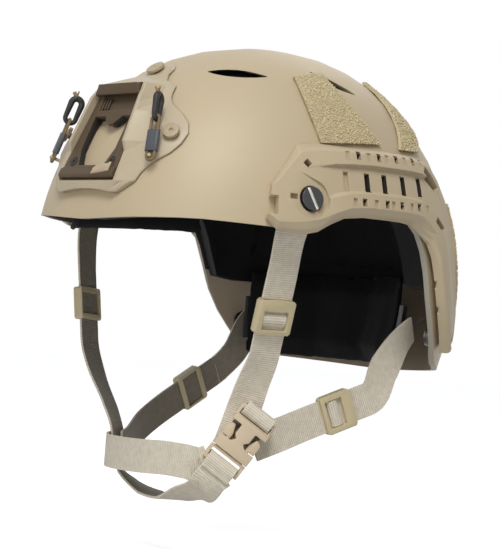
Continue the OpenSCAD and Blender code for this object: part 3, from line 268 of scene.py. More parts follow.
shell_paint = moulded("sand_paint", (0.5, 0.405, 0.262), (0.58, 0.48, 0.33), 0.5, depth=0.03,
                      fine=1300, drift=0.03, wear=0.2)
shell_edge = moulded("bare_wall_edge", (0.36, 0.33, 0.27), (0.42, 0.38, 0.3), 0.6, wear=0.3)
# The inner wall's own beige, set a little darker than the outer paint as painted shade inside the
# bowl
shell_inside = moulded("inner_wall_with_painted_shade", (0.46, 0.375, 0.27), (0.52, 0.44, 0.33), 0.62, depth=0.06,
                       fine=600, drift=0.08, wear=0.2)
# Near black: painted shade under the rails, and the dark inside behind the rear pads and over the
# brow
shell_black_and_painted_shade = moulded("shell_black_and_painted_shade", (0.016, 0.013, 0.009), (0.03, 0.025, 0.02), 0.7)
shell_shape = taken_from("shell")
along_y, along_z = Vector((0, 1, 0)), Vector((0, 0, 1))


def cut_across(shape, faces, across, reach):
    """Cuts the given faces of a shape at a plane across a direction, at its reach from 0."""
    bmesh.ops.bisect_plane(shape, plane_co=across * reach, plane_no=across, dist=0.001 * mm,
                           geom=faces + list({e for f in faces for e in f.edges})
                           + list({v for f in faces for v in f.verts}))


# The shell is painted near black under each rail, in front of the leg and over it, as painted
# shade seen through the slots and gaps: lowest and highest y, lowest and highest z
under_rails = [(-45 * mm, 48 * mm, 10 * mm, 43.5 * mm), (48 * mm, 57 * mm, 2 * mm, 39 * mm)]
temple_x = 75 * mm
for low_y, high_y, low_z, high_z in under_rails:
    for across, reach in ((along_y, low_y), (along_y, high_y), (along_z, low_z), (along_z, high_z)):
        sides = [f for f in shell_shape.faces if abs(f.calc_center_median().x) > temple_x]
        cut_across(shell_shape, sides, across, reach)
# Inside, it is coloured near black behind the pads at the rear, down to the band, and over the
# brow, where its edge is black too
inside_dark_low, inside_dark_front, brow_back = -24 * mm, 40 * mm, -50 * mm
rear_half_y, lower_half_z = 20 * mm, 30 * mm
for across, reach in ((along_z, inside_dark_low), (along_y, inside_dark_front)):
    rear = [f for f in shell_shape.faces if f.calc_center_median().y > rear_half_y]
    cut_across(shell_shape, rear, across, reach)
lower = [f for f in shell_shape.faces if f.calc_center_median().z < lower_half_z]
cut_across(shell_shape, lower, along_y, brow_back)

# Faces are told apart by how far they turn away from the dome's own outward direction
edge_finish, inside_finish, near_black_finish = 1, 2, 3
dome_middle, dome_half = (0, 0.0085, -0.035), (0.109, 0.139, 0.146)
turned_away, rim_top_z = 0.42, 20 * mm
for face in shell_shape.faces:
    centre = face.calc_center_median()
    outward = Vector([(c - m) / half for c, m, half in zip(centre, dome_middle, dome_half)])
    facing = face.normal.dot(outward.normalized())
    over_brow = centre.y < brow_back
    # Outer faces under the rails take the near black as painted shade
    if facing > turned_away and abs(centre.x) > temple_x and any(
            low_y < centre.y < high_y and low_z < centre.z < high_z
            for low_y, high_y, low_z, high_z in under_rails):
        face.material_index = near_black_finish
    elif facing < -turned_away:
        behind_pads = centre.y > inside_dark_front and centre.z > inside_dark_low
        face.material_index = near_black_finish if behind_pads or over_brow else inside_finish
    elif centre.z < rim_top_z and facing < turned_away:
        face.material_index = near_black_finish if over_brow else edge_finish
piece(shell_shape, "helmet_shell", "helmet", ["shell"],
      [shell_paint, shell_edge, shell_inside, shell_black_and_painted_shade], crease=28)

# Rails
# Satin sand plastic in one moulding with each ear's leg: two ridges with a slotted web between.
# The slots' deep floors and walls are painted near black as painted shade.
rail_plastic = moulded("rail_plastic", (0.5, 0.405, 0.262), (0.68, 0.58, 0.42), 0.48, depth=0.05,
                       fine=1100, drift=0.04, radius=0.6, wear=0.75)
rail_slot_painted_shade = moulded("rail_slot_painted_shade", (0.03, 0.023, 0.015), (0.05, 0.04, 0.03), 0.7)


def surface_of(name):
    """A search tree of a CAD node's surface."""
    shape = taken_from(name)
    tree = BVHTree.FromBMesh(shape)
    shape.free()
    return tree


shell_surface = surface_of("shell")
# Heights over the shell: the floor's lowest and highest place, and the walls' top
floor_low, floor_high, wall_high = 1.2 * mm, 3.4 * mm, 5.8 * mm
for side in ("left", "right"):
    rail = taken_from("rail_" + side)
    for face in rail.faces:
        centre = face.calc_center_median()
        _, out, _, gap = shell_surface.find_nearest(centre)
        foot = min(shell_surface.find_nearest(v.co)[3] for v in face.verts)
        rise = face.normal.dot(out)
        slotted = -18 * mm < centre.y < 58 * mm and 2 * mm < centre.z < 43.5 * mm
        deep_floor = floor_low < gap < floor_high and rise > 0.7
        deep_wall = gap < wall_high and foot < floor_high and abs(rise) < 0.35
        # Deep floors and walls in the slotted web take the near black as painted shade
        if slotted and face.normal.z > -0.5 and (deep_floor or deep_wall):
            face.material_index = 1
    piece(rail, "accessory_rail_" + side, "helmet", ["rail_" + side],
          [rail_plastic, rail_slot_painted_shade], crease=14)

# Bolts and nuts
# Turned steel with a slot; the front pair is dark, their slots painted bright steel as a painted
# glint; the rear pair is painted sand.
# The nuts hold the straps inside.
flat_angle, sharp_angle = math.radians(1.5), math.radians(28)


def eased(shape, width):
    """Joins flat triangles, then rounds the sharp edges by the width in millimetres."""
    bmesh.ops.dissolve_limit(shape, angle_limit=flat_angle, verts=shape.verts,
                             edges=shape.edges, delimit={"NORMAL"})
    sharp = [e for e in shape.edges if len(e.link_faces) == 2
             and e.calc_face_angle(0) > sharp_angle]
    bmesh.ops.bevel(shape, geom=sharp, offset=width * mm, offset_type="OFFSET", segments=2,
                    profile=0.5, affect="EDGES", clamp_overlap=True, material=-1)
    return shape


# The front bolts' directions out of the shell; their slots' half length and depths, painted bright
# as a glint
left_n, right_n = Vector((0.951, -0.245, 0.186)), Vector((-0.951, -0.245, 0.186))
slot_half, slot_top, slot_floor = 6 * mm, 0.25 * mm, 2.4 * mm
dark_steel = moulded("dark_steel", (0.06, 0.06, 0.062), (0.3, 0.3, 0.3), 0.3, depth=0.01,
                     drift=0.1, radius=0.3, wear=0.8, metallic=0.8)
slot_painted_glint = moulded("slot_painted_glint", (0.75, 0.74, 0.7), (0.8, 0.8, 0.78), 0.25, depth=0.01,
                    metallic=0.9)
sand_steel = moulded("sand_painted_steel", (0.42, 0.335, 0.21), (0.3, 0.27, 0.22), 0.45,
                     radius=0.3, wear=0.6)
bolts = eased(taken_from("front_bolts"), 0.45)
for side, out in ((1, left_n), (-1, right_n)):
    own = [v.co for v in bolts.verts if v.co.x * side > 0]
    top = max(co.dot(out) for co in own)
    middle = sum(own, Vector()) / len(own)
    for face in bolts.faces:
        centre = face.calc_center_median()
        aside = centre - middle
        aside -= out * aside.dot(out)
        deep = top - centre.dot(out)
        if centre.x * side > 0 and aside.length < slot_half and slot_top < deep < slot_floor:
            face.material_index = 1
piece(bolts, "front_bolt_pair", "helmet", ["front_bolts"], [dark_steel, slot_painted_glint])
piece(eased(taken_from("anchor_nuts"), 0.3), "strap_anchor_nuts", "helmet", ["anchor_nuts"],
      [dark_steel])
piece(eased(taken_from("rear_bolts"), 0.3), "rear_bolt_pair", "helmet", ["rear_bolts"],
      [sand_steel])

# Shroud
# A sand plastic base screwed to the brow carries a machined frame, anodised earth brown and
# worn pale at its lower left corner. The walls seen through the frame's window are painted near
# black as painted shade.
# Its edges' pale rub is partly wear and partly painted highlight along the cheeks' edges
base_plastic = moulded("base_plastic", (0.47, 0.39, 0.265), (0.75, 0.66, 0.5), 0.46, radius=0.9,
                       wear=0.85)
shroud_black_and_painted_shade = moulded("shroud_black_and_painted_shade", (0.012, 0.01, 0.008), (0.02, 0.017, 0.013), 0.7)
earth_metal = moulded("earth_anodised", (0.092, 0.063, 0.036), (0.3, 0.215, 0.125), 0.5,
                      depth=0.015, fine=1800, drift=0.16, radius=0.35, wear=1, specular=0.2)
worn_metal = moulded("worn_to_sand", (0.47, 0.37, 0.24), (0.2, 0.15, 0.1), 0.5, depth=0.1,
                     fine=700, drift=0.25, radius=0.6, wear=0.8, drift_scale=260)
frame_foot = Vector((0, -125.587, 18.2)) * mm
lean = math.radians(23.4)
frame_up = Vector((0, math.sin(lean), math.cos(lean)))
frame_out = Vector((0, -math.cos(lean), math.sin(lean)))


def in_frame(point):
    """A point's place across, up and out of the frame's face, from the middle of its foot."""
    point = point - frame_foot
    return point.x / mm, point.dot(frame_up) / mm, point.dot(frame_out) / mm


base = taken_from("shroud_base")
for face in base.faces:
    across, high, proud = in_frame(face.calc_center_median())
    # Base walls behind the frame's window take the near black as painted shade
    behind_frame = abs(across) < 20 and 4 < high < 56 and proud < -2.9
    if behind_frame and abs(face.normal.dot(frame_out)) < 0.7:
        face.material_index = 1
piece(base, "shroud_base_plate", "helmet", ["shroud_base"],
      [base_plastic, shroud_black_and_painted_shade], crease=24)
frame_shape = eased(taken_from("shroud_frame"), 0.4)
for face in frame_shape.faces:
    across, high, proud = in_frame(face.calc_center_median())
    worn_corner = across > 7 and 1.4 < high < 10 and proud > 1.65
    in_window = abs(across) < 20 and 6 < high < 52 and proud < -0.3
    if worn_corner:
        face.material_index = 1
    # The window's inner wall that faces across takes the near black as painted shade
    elif in_window and face.normal.x > 0.3:
        face.material_index = 2
piece(frame_shape, "shroud_metal_frame", "helmet", ["shroud_frame"],
      [earth_metal, worn_metal, shroud_black_and_painted_shade])
piece(eased(taken_from("shroud_screws"), 0.4), "shroud_base_screws", "helmet", ["shroud_screws"],
      [sand_steel])
# The frame screws in their own near black
piece(eased(taken_from("frame_screws"), 0.2), "shroud_frame_screws", "helmet", ["frame_screws"],
      [shroud_black_and_painted_shade])

# Lanyards
# A loop of braided elastic round a post, a rubber sleeve on it and a coated hook at its head,
# out of which the cord's ends fray.
cord_braid = moulded("cord_braid", (0.19, 0.13, 0.06), (0.35, 0.26, 0.15), 0.8, depth=0.4,
                     fine=700, drift=0.55, wear=0.2, drift_scale=300)
sleeve_rubber = moulded("sleeve_rubber", (0.052, 0.056, 0.065), (0.12, 0.13, 0.15), 0.5,
                        depth=0.2, fine=500, drift=0.25, wear=0.4, drift_scale=200)
hook_black = moulded("hook_black", (0.006, 0.006, 0.006), (0.02, 0.02, 0.02), 0.6, depth=0.5,
                     fine=420, wear=0.3)
fray_yarn = moulded("fray_yarn", (0.3, 0.19, 0.09), (0.5, 0.38, 0.22), 0.9, depth=0.3, drift=0.6,
                    drift_scale=350)
coating = 0.4 * mm
# Each frayed end: its bend to the side, its lean to the front and its length
tufts = [(-0.098, -0.05, 6.5), (-0.035, -0.25, 6), (0.07, -0.1, 6.5), (0.119, -0.25, 4.5)]


def yarn(name, body, finish, runs, thick, taper=0.0):
    """Round threads along the given runs of points, each thinner towards its end by the taper."""
    line = bpy.data.curves.new(name, "CURVE")
    line.dimensions = "3D"
    line.bevel_depth = thick / 2
    line.bevel_resolution = 1
    line.use_fill_caps = True
    for points in runs:
        spline = line.splines.new("POLY")
        spline.points.add(len(points) - 1)
        for k, point in enumerate(points):
            spline.points[k].co = (*point, 1)
            spline.points[k].radius = 1 - taper * k / (len(points) - 1)
    line.materials.append(finish)
    made = new_object(name, line)
    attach(made, body)
    return made


for side, turned in (("left", 1), ("right", -1)):
    body = "lanyard_" + side
    piece(taken_from("lanyard_cord_" + side), "elastic_loop_" + side, body,
          ["lanyard_cord_" + side], [cord_braid])
    piece(eased(taken_from("lanyard_sleeve_" + side), 0.2), "loop_sleeve_" + side, body,
          ["lanyard_sleeve_" + side], [sleeve_rubber])
    hook = taken_from("lanyard_hook_" + side)
    for vert in hook.verts:
        vert.co += vert.normal * coating
    head = max((v.co for v in hook.verts), key=lambda co: co.z).copy()
    piece(hook, "loop_hook_" + side, body, ["lanyard_hook_" + side], [hook_black])
    frayed = [[head + Vector((turned * bend * t * t, forward * t - 0.4, t * 0.9 - 2.5))
               * (length / 5) * mm for t in (0, 1.2, 2.4, 3.6, 4.8)]
              for bend, forward, length in tufts]
    yarn("frayed_ends_" + side, body, fray_yarn, frayed, 2.6 * mm, taper=0.7)

# Liner and pads
# A shaped foam bowl against the shell; knit-covered foam pads held on it by their backs.
# Near black, set darker than the foam's and knit's own black as painted shade inside the bowl
liner_foam = moulded("liner_foam", (0.004, 0.004, 0.0042), (0.009, 0.009, 0.009), 0.7, depth=0.15,
                     fine=500, drift=0.1, radius=1.5, wear=0.2, specular=0.15)
pad_knit = moulded("pad_knit", (0.005, 0.005, 0.0053), (0.011, 0.011, 0.012), 0.85, depth=0.25,
                   fine=1500, drift=0.2, radius=1.5, wear=0.3, specular=0.15)
piece(taken_from("impact_liner"), "foam_liner", "helmet", ["impact_liner"],
      [liner_foam], crease=40)


def settled(obj):
    """The object's mesh as its modifiers leave it."""
    return bpy.data.meshes.new_from_object(obj.evaluated_get(bpy.context.evaluated_depsgraph_get()))


def smoothed(shape, times):
    """Evens out a shape's corners, each time by half."""
    for _ in range(times):
        bmesh.ops.smooth_vert(shape, verts=shape.verts, factor=0.5)


# The cover's mesh size, how far under the foam's face it starts, and the frames it is blown for
knit_size, knit_start, blown_frames = 3.2 * mm, 0.9 * mm, 14


def stuffed(shape, cap):
    """Blows a knit cover out over its foam: remeshed, rounded, inflated and capped."""
    foam = BVHTree.FromBMesh(shape)
    cover = new_object("cover", bpy.data.meshes.new("cover"))
    shape.to_mesh(cover.data)
    shape.clear()
    even = cover.modifiers.new("even", "REMESH")
    even.mode = "VOXEL"
    even.voxel_size = knit_size
    cover.data = settled(cover)
    cover.modifiers.clear()
    shape.from_mesh(cover.data)
    smoothed(shape, 4)
    for vert in shape.verts:
        vert.co = foam.find_nearest(vert.co)[0]
    smoothed(shape, 2)
    shape.normal_update()
    for vert in shape.verts:
        vert.co -= vert.normal * knit_start
    shape.to_mesh(cover.data)
    before = [v.co.copy() for v in cover.data.vertices]
    cloth = cover.modifiers.new("cloth", "CLOTH")
    cloth.settings.use_pressure = True
    cloth.settings.uniform_pressure_force = 0.8
    cloth.settings.bending_stiffness = 10
    cloth.settings.effector_weights.gravity = 0
    cloth.settings.quality = 5
    for frame_number in range(1, blown_frames + 1):
        scene.frame_set(frame_number)
    blown = settled(cover)
    scene.frame_set(1)
    bpy.data.objects.remove(cover)
    for vert, start in zip(blown.vertices, before):
        moved = vert.co - start
        if moved.length > cap:
            vert.co = start + moved.normalized() * cap
    shape.clear()
    shape.from_mesh(blown)
    return shape


for name, cap in (("brow_pad", 1.2), ("side_pad_left", 1.4), ("side_pad_right", 1.4),
                  ("rear_pad", 1.4), ("crown_pad", 1.4), ("nape_pad", 1.2)):
    shape = taken_from(name)
    shape = stuffed(shape, cap * mm)
    cushion = piece(shape, "cushion_" + name, "helmet", [name], [pad_knit], crease=80)
    finer = cushion.modifiers.new("finer", "SUBSURF")
    finer.levels = finer.render_levels = 1

# Fit system
# A black nylon band, hung from the shell, that the dial at the nape draws in by two laces.
black_nylon = moulded("black_nylon", (0.009, 0.009, 0.0095), (0.035, 0.035, 0.035), 0.42,
                      depth=0.03, wear=0.3)
for name, width in (("fit_band", 0), ("band_hangers", 0), ("dial_housing", 0.6),
                    ("dial_knob", 0.5)):
    shape = taken_from(name)
    if width:
        shape = eased(shape, width)
    piece(shape, "nylon_" + name, "dial" if name == "dial_knob" else "helmet", [name],
          [black_nylon])
piece(taken_from("fit_laces"), "drawn_laces", "helmet", ["fit_laces"], [black_nylon])

# Loop patches
# Khaki loop pile glued to the shell, cut to shape: a woven backing with yarn loops standing on it.
pile = moulded("loop_backing", (0.5, 0.42, 0.26), (0.5, 0.43, 0.28), 0.95, depth=0.4, drift=0.22,
               radius=0.4, wear=0.3, drift_scale=60)
loop_yarn = moulded("loop_yarn", (0.66, 0.56, 0.35), (0.6, 0.53, 0.36), 0.95, depth=0.12,
                    drift=0.3, radius=0.1, wear=0.1, drift_scale=420)
dice = random.Random(5)
# A loop's radius and lift in millimetres and its shape; loops are gathered in batches of corners
loop_radius, loop_lift, loop_shape = 0.62, 0.1, Matrix.Diagonal((1, 0.55, 1.25, 1))
batch_corners = 1000


def yarn_loops(patch, name, spacing):
    """Stands a yarn loop about every spacing millimetres on the outer face of a patch."""
    loops, some = bmesh.new(), bmesh.new()
    batch = bpy.data.meshes.new("batch")
    for face in patch.faces:
        _, out, _, _ = shell_surface.find_nearest(face.calc_center_median())
        if face.normal.dot(out) < 0.7:
            continue
        corners = [v.co for v in face.verts]
        wanted = face.calc_area() / (spacing * mm) ** 2
        for _ in range(int(wanted + dice.random())):
            u, v = dice.random(), dice.random()
            if u + v > 1:
                u, v = 1 - u, 1 - v
            spot = corners[0] + (corners[1] - corners[0]) * u + (corners[2] - corners[0]) * v
            turn = Matrix.Rotation(dice.uniform(0, 2 * math.pi), 4, out)
            tilt = out + Vector([dice.uniform(-0.5, 0.5) for _ in range(3)])
            size = dice.uniform(0.75, 1.15)
            tilt = tilt.to_track_quat("Z", "Y").to_matrix().to_4x4()
            stand = Matrix.Translation(spot + out * loop_lift * mm)
            bmesh.ops.create_icosphere(some, subdivisions=1, radius=size * loop_radius * mm,
                                       matrix=stand @ turn @ tilt @ loop_shape)
            if len(some.verts) > batch_corners:
                some.to_mesh(batch)
                loops.from_mesh(batch)
                some.clear()
    some.to_mesh(batch)
    loops.from_mesh(batch)
    some.free()
    return piece(loops, name, "helmet", [], [loop_yarn], crease=180)


# Each patch as cut: the width and length it fits in, its own area as a share of that, and the
# spacing of its loops
on_dome, on_rear = (52, 57, 0.64, 1.05), (36, 79, 0.69, 1.05)
patches = {"loop_patch_left": on_dome, "loop_patch_right": on_dome,
           "loop_patch_rear_left": on_rear, "loop_patch_rear_right": on_rear,
           "loop_patch_nape": (71, 185, 0.94, 1.6)}
for name, (wide, long, share, spacing) in patches.items():
    patch = taken_from(name)
    loops = yarn_loops(patch, "yarn_on_" + name, spacing)
    backing = piece(patch, "pile_" + name, "helmet", [name], [pile])


# Webbing
# Woven nylon tape 20 mm wide and 1.6 mm thick, ribbed across, in the routes of the CAD straps.
# Two straps a side run from the shell to the buckle or the chin; two bands cross the chin.
# Each tape's inner face is painted darker than its outer face as painted shade.
def through(points, step):
    """Points about a step apart on a smooth curve through the given ones, each with its place."""
    points = [Vector(p) for p in points]
    spans = [(b - a).length for a, b in zip(points, points[1:])]
    runs = [(b - a) / span for a, b, span in zip(points, points[1:], spans)]
    slopes = [runs[0]] + [(a * t + b * s) / (s + t) for a, b, s, t
                          in zip(runs, runs[1:], spans, spans[1:])] + [runs[-1]]
    smooth = []
    for i, span in enumerate(spans):
        count = max(1, round(span / step))
        for k in range(count):
            t = k / count
            start = (1 + 2 * t) * points[i] + t * span * slopes[i]
            end = (3 - 2 * t) * points[i + 1] - (1 - t) * span * slopes[i + 1]
            smooth.append((i + t, (1 - t) ** 2 * start + t * t * end))
    smooth.append((len(spans), points[-1]))
    return smooth


tape_w, tape_t = 20 * mm, 1.6 * mm
rib_pitch, yarn_pitch, yarn_share = 1.3 * mm, 0.7 * mm, 0.35
weave, _, weave_out = node_group("ribbed_weave", [], [("Height", "Float"), ("Shade", "Float")])
weave_uv = node(weave, "UVMap", (-900, 0), uv_map="run").outputs[0]
weave_parts = node(weave, "SeparateXYZ", (-700, 0), Vector=weave_uv).outputs
jitter = node(weave, "TexNoise", (-700, -250), Scale=240, Detail=2, Vector=weave_uv).outputs["Fac"]


def wave_along(output, pitch, spread, row):
    """A wave of the given pitch along the output, shaken by the jitter."""
    turned = worked(weave, (-500, row), "MULTIPLY", output, 2 * math.pi / pitch)
    shaken = worked(weave, (-350, row), "MULTIPLY_ADD", jitter, spread, turned)
    return worked(weave, (-200, row), "SINE", shaken)


ribs = wave_along(weave_parts["Y"], rib_pitch, 2.4, 0)
yarns = wave_along(weave_parts["X"], yarn_pitch, 3, 200)
crossed = worked(weave, (0, 100), "MULTIPLY_ADD", yarns, yarn_share, ribs)
weave_height = node(weave, "MapRange", (200, 100), From_Min=-1 - yarn_share,
                    From_Max=1 + yarn_share, Value=crossed).outputs[0]
# Half the tone follows the weave's height, lighter on the rib tops and darker in the hollows as
# painted light; the other half is random
half_height = worked(weave, (200, -100), "MULTIPLY", weave_height, 0.5)
tone = worked(weave, (350, -100), "MULTIPLY_ADD", jitter, 0.5, half_height)
wire(weave, weave_out, Height=weave_height, Shade=tone)


def woven(name, dark, light, depth=0.12):
    """Webbing cloth whose ribs follow the tape's own length, its colour lighter on the rib tops and
    darker in the hollows as painted light, with random tone.
    """
    cloth, tree = new_paint(name)
    pattern = node(tree, "Group", (-700, 0), node_tree=weave).outputs
    bump = node(tree, "Bump", (-300, -200), Distance=depth * mm, Height=pattern["Height"])
    wire(tree, tree.nodes["Principled BSDF"], Roughness=0.75, Sheen_Weight=0.15,
         Base_Color=mixed(tree, (-400, 100), pattern["Shade"], dark, light),
         Normal=bump.outputs[0])
    return cloth


tape_cloth = woven("sand_webbing", (0.46, 0.405, 0.305), (0.97, 0.885, 0.73), depth=0.2)
tape_back_painted_shade = woven("webbing_back_painted_shade", (0.13, 0.107, 0.077), (0.36, 0.31, 0.235))


def tape(name, body, replaced, route, faces_to, width=tape_w, step=2.2):
    """Lays webbing along the route, its face towards the given directions."""
    curve = through(route, step)
    line = [p * mm for _, p in curve]
    faces_to = [Vector(f) for f in faces_to] + [Vector(faces_to[-1])]
    faces = [faces_to[int(at)].lerp(faces_to[int(at) + 1], at - int(at)) for at, _ in curve]
    along = [0.0]
    for a, b in zip(line, line[1:]):
        along.append(along[-1] + (b - a).length)
    last = len(line) - 1
    shape = bmesh.new()
    bmesh.ops.create_grid(shape, x_segments=4, y_segments=last, size=0.5)
    run_map = shape.loops.layers.uv.new("run")
    placed = {}
    for vert in shape.verts:
        across, row = vert.co.x, round((vert.co.y + 0.5) * last)
        ahead = (line[min(row + 1, last)] - line[max(row - 1, 0)]).normalized()
        wide = ahead.cross(faces[row]).normalized()
        placed[vert] = (across * width, along[row])
        vert.co = line[row] + wide * (across * width)
    for face in shape.faces:
        for loop in face.loops:
            loop[run_map].uv = placed[loop.vert]
    made = piece(shape, name, body, replaced, [tape_cloth, tape_back_painted_shade], crease=80)
    thick = made.modifiers.new("thickness", "SOLIDIFY")
    thick.thickness = tape_t
    thick.offset = 0
    # The inner face takes the darker cloth, painted as shade
    thick.material_offset = 1
    edge = made.modifiers.new("edge", "BEVEL")
    edge.width = 0.35 * mm
    edge.segments = 2
    return made


# The buckle's middle, its direction up the straps and its direction out, in millimetres
buckle_q = Vector((59, -50.6, -135))
buckle_a = Vector((11.3, 15, 28)).normalized()
buckle_n = Vector((0.8, -0.6, 0))
buckle_n = (buckle_n - buckle_a * buckle_n.dot(buckle_a)).normalized()
# Each slider's middle, its strap's direction down and the way its face looks
sliders = {
    "front_slider_left": ((76.5, -40.7, -53.6), (-15.5, 3.3, -56.5), (0.98, -0.2, 0)),
    "front_slider_right": ((-88.5, -48.5, -54), (5, 0.5, -30), (-0.93, -0.36, 0)),
    "rear_slider_left": ((73.7, 19.5, -107.2), (-15, -52.8, -22.5), (0.95, -0.28, 0)),
    "rear_slider_right": ((-78, 34, -104), (1, -56, -33), (-0.97, -0.05, 0.1)),
}
straight_half, bend_end = 17.25, 23.25


def at_buckle(x, y, z):
    """A point given in the buckle's own directions: up the straps, to the front and out."""
    return buckle_q + x * buckle_a + y * buckle_n.cross(buckle_a) + z * buckle_n


def slider_axes(name):
    """A slider's middle, the direction down its strap and the way its face looks."""
    middle, down, out = sliders[name]
    return Vector(middle), Vector(down).normalized(), Vector(out)


def in_line(name):
    """The straight run of a strap that its slider moves along."""
    middle, down, _ = slider_axes(name)
    return [middle + down * reach for reach in (-bend_end, -straight_half, straight_half, bend_end)]


tape("front_tape_left", "helmet", ["front_strap_left"],
     [(93.64, -40.44, 21.75), (95.36, -42.34, 12.05), (94.67, -46.06, 2.14)]
     + in_line("front_slider_left")
     + [at_buckle(41, 14, -4.2), at_buckle(24, 8, -8.2), at_buckle(14, 4.8, -8.2),
        at_buckle(5, 2, -8.2)],
     [left_n] * 3 + [(0.98, -0.2, 0)] * 4 + [(0.93, -0.37, 0)] + [buckle_n] * 3)
tape("front_tape_right", "helmet", ["front_strap_right"],
     [(-93.64, -40.44, 21.75), (-95.36, -42.34, 12.05), (-95.43, -46.28, 2.25)]
     + in_line("front_slider_right")
     + [(-77, -46, -97), (-63.5, -43.4, -118), (-57, -42.2, -131), (-55, -42, -140)],
     [right_n] * 3 + [(-0.93, -0.36, 0)] * 4
     + [(-0.92, -0.38, 0), (-0.9, -0.43, 0), (-0.87, -0.5, 0), (-0.87, -0.5, 0)])
tape("rear_tape_left", "helmet", ["rear_strap_left"],
     [(71.5, 82.8, -54), (71.5, 76.8, -59), (74, 58, -79)]
     + in_line("rear_slider_left")
     + [at_buckle(26, -17.4, -15.2), at_buckle(12, -8.5, -10.8)],
     [(0.8, 0.5, 0), (0.85, 0.3, 0), (0.85, -0.15, 0.35)] + [(0.95, -0.28, 0)] * 4
     + [(0.88, -0.46, 0), buckle_n])
tape("rear_tape_right", "helmet", ["rear_strap_right"],
     [(-71.5, 82.8, -54), (-71.5, 76.8, -59), (-73, 64, -80)]
     + in_line("rear_slider_right")
     + [(-70, -12, -129), (-55.6, -34.8, -139.5), (-51.8, -41.4, -141.5)],
     [(-0.8, 0.5, 0), (-0.85, 0.3, 0), (-0.95, 0.05, 0.1)] + [(-0.97, -0.05, 0.1)] * 4
     + [(-0.94, -0.3, 0), (-0.87, -0.5, 0), (-0.87, -0.5, 0)])
tape("chin_tape_upper", "helmet", ["chin_band_upper"],
     [(-61, -39.5, -142), (-56, -49, -142.5), (-44, -59, -143), (-24, -66, -142.8),
      (0, -68.7, -142.2), (24, -67, -141.2), (37, -65, -141.6), at_buckle(-14.5, 9, -1.05),
      at_buckle(-10.8, 6.3, -1.05)],
     [(-0.9, -0.42, 0), (-0.8, -0.6, 0), (-0.55, -0.83, 0), (-0.24, -0.97, 0), (0, -1, 0),
      (0.16, -0.99, 0), (0.35, -0.94, 0), buckle_n, buckle_n])
tape("chin_tape_lower", "helmet", ["chin_band_lower"],
     [(-42, -55.6, -146.5), (-31, -53, -157), (-10, -50.5, -165), (11, -52, -166.3),
      (31, -56, -161), at_buckle(-25, -1, -2.2), at_buckle(-17, -0.5, 1.15),
      at_buckle(-10.8, -2.3, 1.05)],
     [(-0.55, -0.83, 0), (-0.5, -0.4, -0.75), (-0.2, 0, -1), (0.12, -0.05, -1),
      (0.4, -0.4, -0.85), (0.7, -0.6, -0.3), buckle_n, buckle_n])


def buckle_tape(name, replaced, route):
    """A sewn loop of webbing round a bar of the buckle, given in the buckle's X and Z."""
    last = len(route) - 1
    outs = []
    for i in range(last + 1):
        a, b = route[max(i - 1, 0)], route[min(i + 1, last)]
        d = Vector((b[0] - a[0], b[1] - a[1])).normalized()
        outs.append(at_buckle(d.y, 0, -d.x) - buckle_q)
    return tape(name, "helmet", [replaced], [at_buckle(x, 0, z) for x, z in route], outs,
                width=19.4 * mm, step=0.9)


buckle_tape("sewn_loop_socket", "buckle_loop",
            [(9.5, -5.8), (19.5, -5.8), (27.5, -5.2), (30.9, -3), (31.3, 0), (30.1, 3), (27.5, 3.6),
             (24.7, 2.8), (23.75, 0.3), (23.75, -2.4)])
buckle_tape("sewn_loop_plug", "chin_loop",
            [(-14.5, -3.2), (-12.5, -3.4), (-9.6, -4.3), (-6.6, -4), (-4.6, -2.2), (-4.5, 0),
             (-4.6, 2.2), (-6.6, 4), (-9.6, 4.3), (-12.5, 3.4), (-14.5, 3.2)])

# Seams
# Pale thread: zigzags where the two chin bands are sewn together and on the folded end over the
# socket's bar, and two lines across the far rear strap by its slider.
thread = moulded("pale_thread", (0.62, 0.56, 0.43), (0.7, 0.65, 0.52), 0.8, depth=0.05)
stitches, stitch_half, lift = 12, 0.8, 1.05


def zigzag(middle, along, out, length, width, rows):
    """Runs of zigzag stitches that lie on a tape, across its length."""
    along, out = Vector(along).normalized(), Vector(out).normalized()
    wide = along.cross(out).normalized()
    out = wide.cross(along)
    runs = []
    for row in range(rows):
        start = (row - (rows - 1) / 2) * length / rows
        runs.append([(Vector(middle) + along * (start + (stitch_half if k % 2 else -stitch_half))
                      + out * lift + wide * (width * (k / stitches - 0.5))) * mm
                     for k in range(stitches + 1)])
    return runs


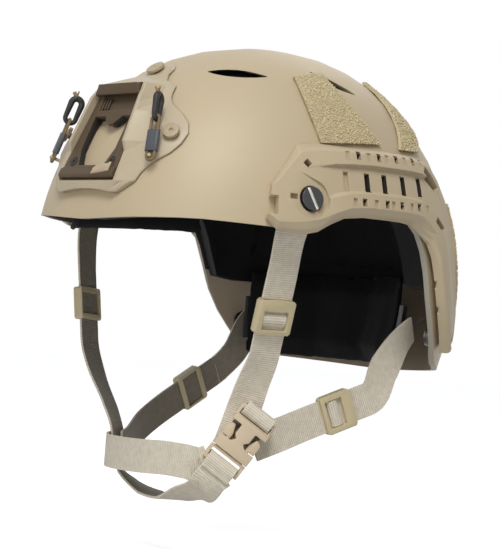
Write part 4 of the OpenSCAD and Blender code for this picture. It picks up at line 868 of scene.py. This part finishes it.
seams = zigzag(at_buckle(-18.5, 8.5, -0.6), at_buckle(-10.8, 6.3, 0) - at_buckle(-22, 12.5, 0),
               buckle_n, 9, 15, 3)
seams += zigzag(at_buckle(20, 0, 2.4), at_buckle(1, 0, 0) - buckle_q, buckle_n, 5, 15, 2)
far_middle, far_down, far_out = slider_axes("rear_slider_right")
far_in = -far_out
far_wide = far_down.cross(far_in).normalized()
line_reaches, line_lift, line_stitch = (24.5, 30), 0.9, 1.6
for reach in line_reaches:
    middle = far_middle - far_down * reach + far_in * line_lift
    seams.append([(middle + far_wide * (k * line_stitch)) * mm for k in range(-6, 7)])
yarn("zigzag_seams", "helmet", thread, seams, 0.6 * mm)

# Sliders
# Moulded sand plastic frames that grip the webbing, each with a turn of it over its bar.
slider_plastic = moulded("slider_plastic", (0.6, 0.5, 0.3), (0.7, 0.61, 0.42), 0.42, depth=0.03,
                         drift=0.04, radius=0.4, wear=0.4)
# The turn's middle down the strap and out of it, and its radius
turn_down, turn_out, turn_radius = 2, -1.8, 4.3
arc = [math.radians(v) for v in (-60, -40, -20, 0, 20, 40, 60)]
for name in sliders:
    piece(eased(taken_from(name), 0.5), "moulded_" + name, name, [name],
          [slider_plastic])
    middle, down, out = slider_axes(name)
    out = (out - down * out.dot(down)).normalized()
    turn = name.replace("slider", "turn")
    tape("tape_" + turn, name, [turn],
         [middle + down * (turn_down + turn_radius * math.sin(t))
          + out * (turn_out + turn_radius * math.cos(t)) for t in arc],
         [down * math.sin(t) + out * math.cos(t) for t in arc], width=15.9 * mm, step=0.7)

# Buckle
# Moulded socket and plug; the plug's two prongs spring out behind the socket's side openings.
buckle_plastic = moulded("buckle_plastic", (0.63, 0.51, 0.35), (0.74, 0.64, 0.48), 0.4,
                         depth=0.02, drift=0.04, radius=0.4, wear=0.4)
for name, body in (("buckle_female", "helmet"), ("buckle_male", "helmet"),
                   ("prong_front", "prong_front"), ("prong_rear", "prong_rear")):
    piece(eased(taken_from(name), 0.4), "moulded_" + name, body, [name],
          [buckle_plastic])
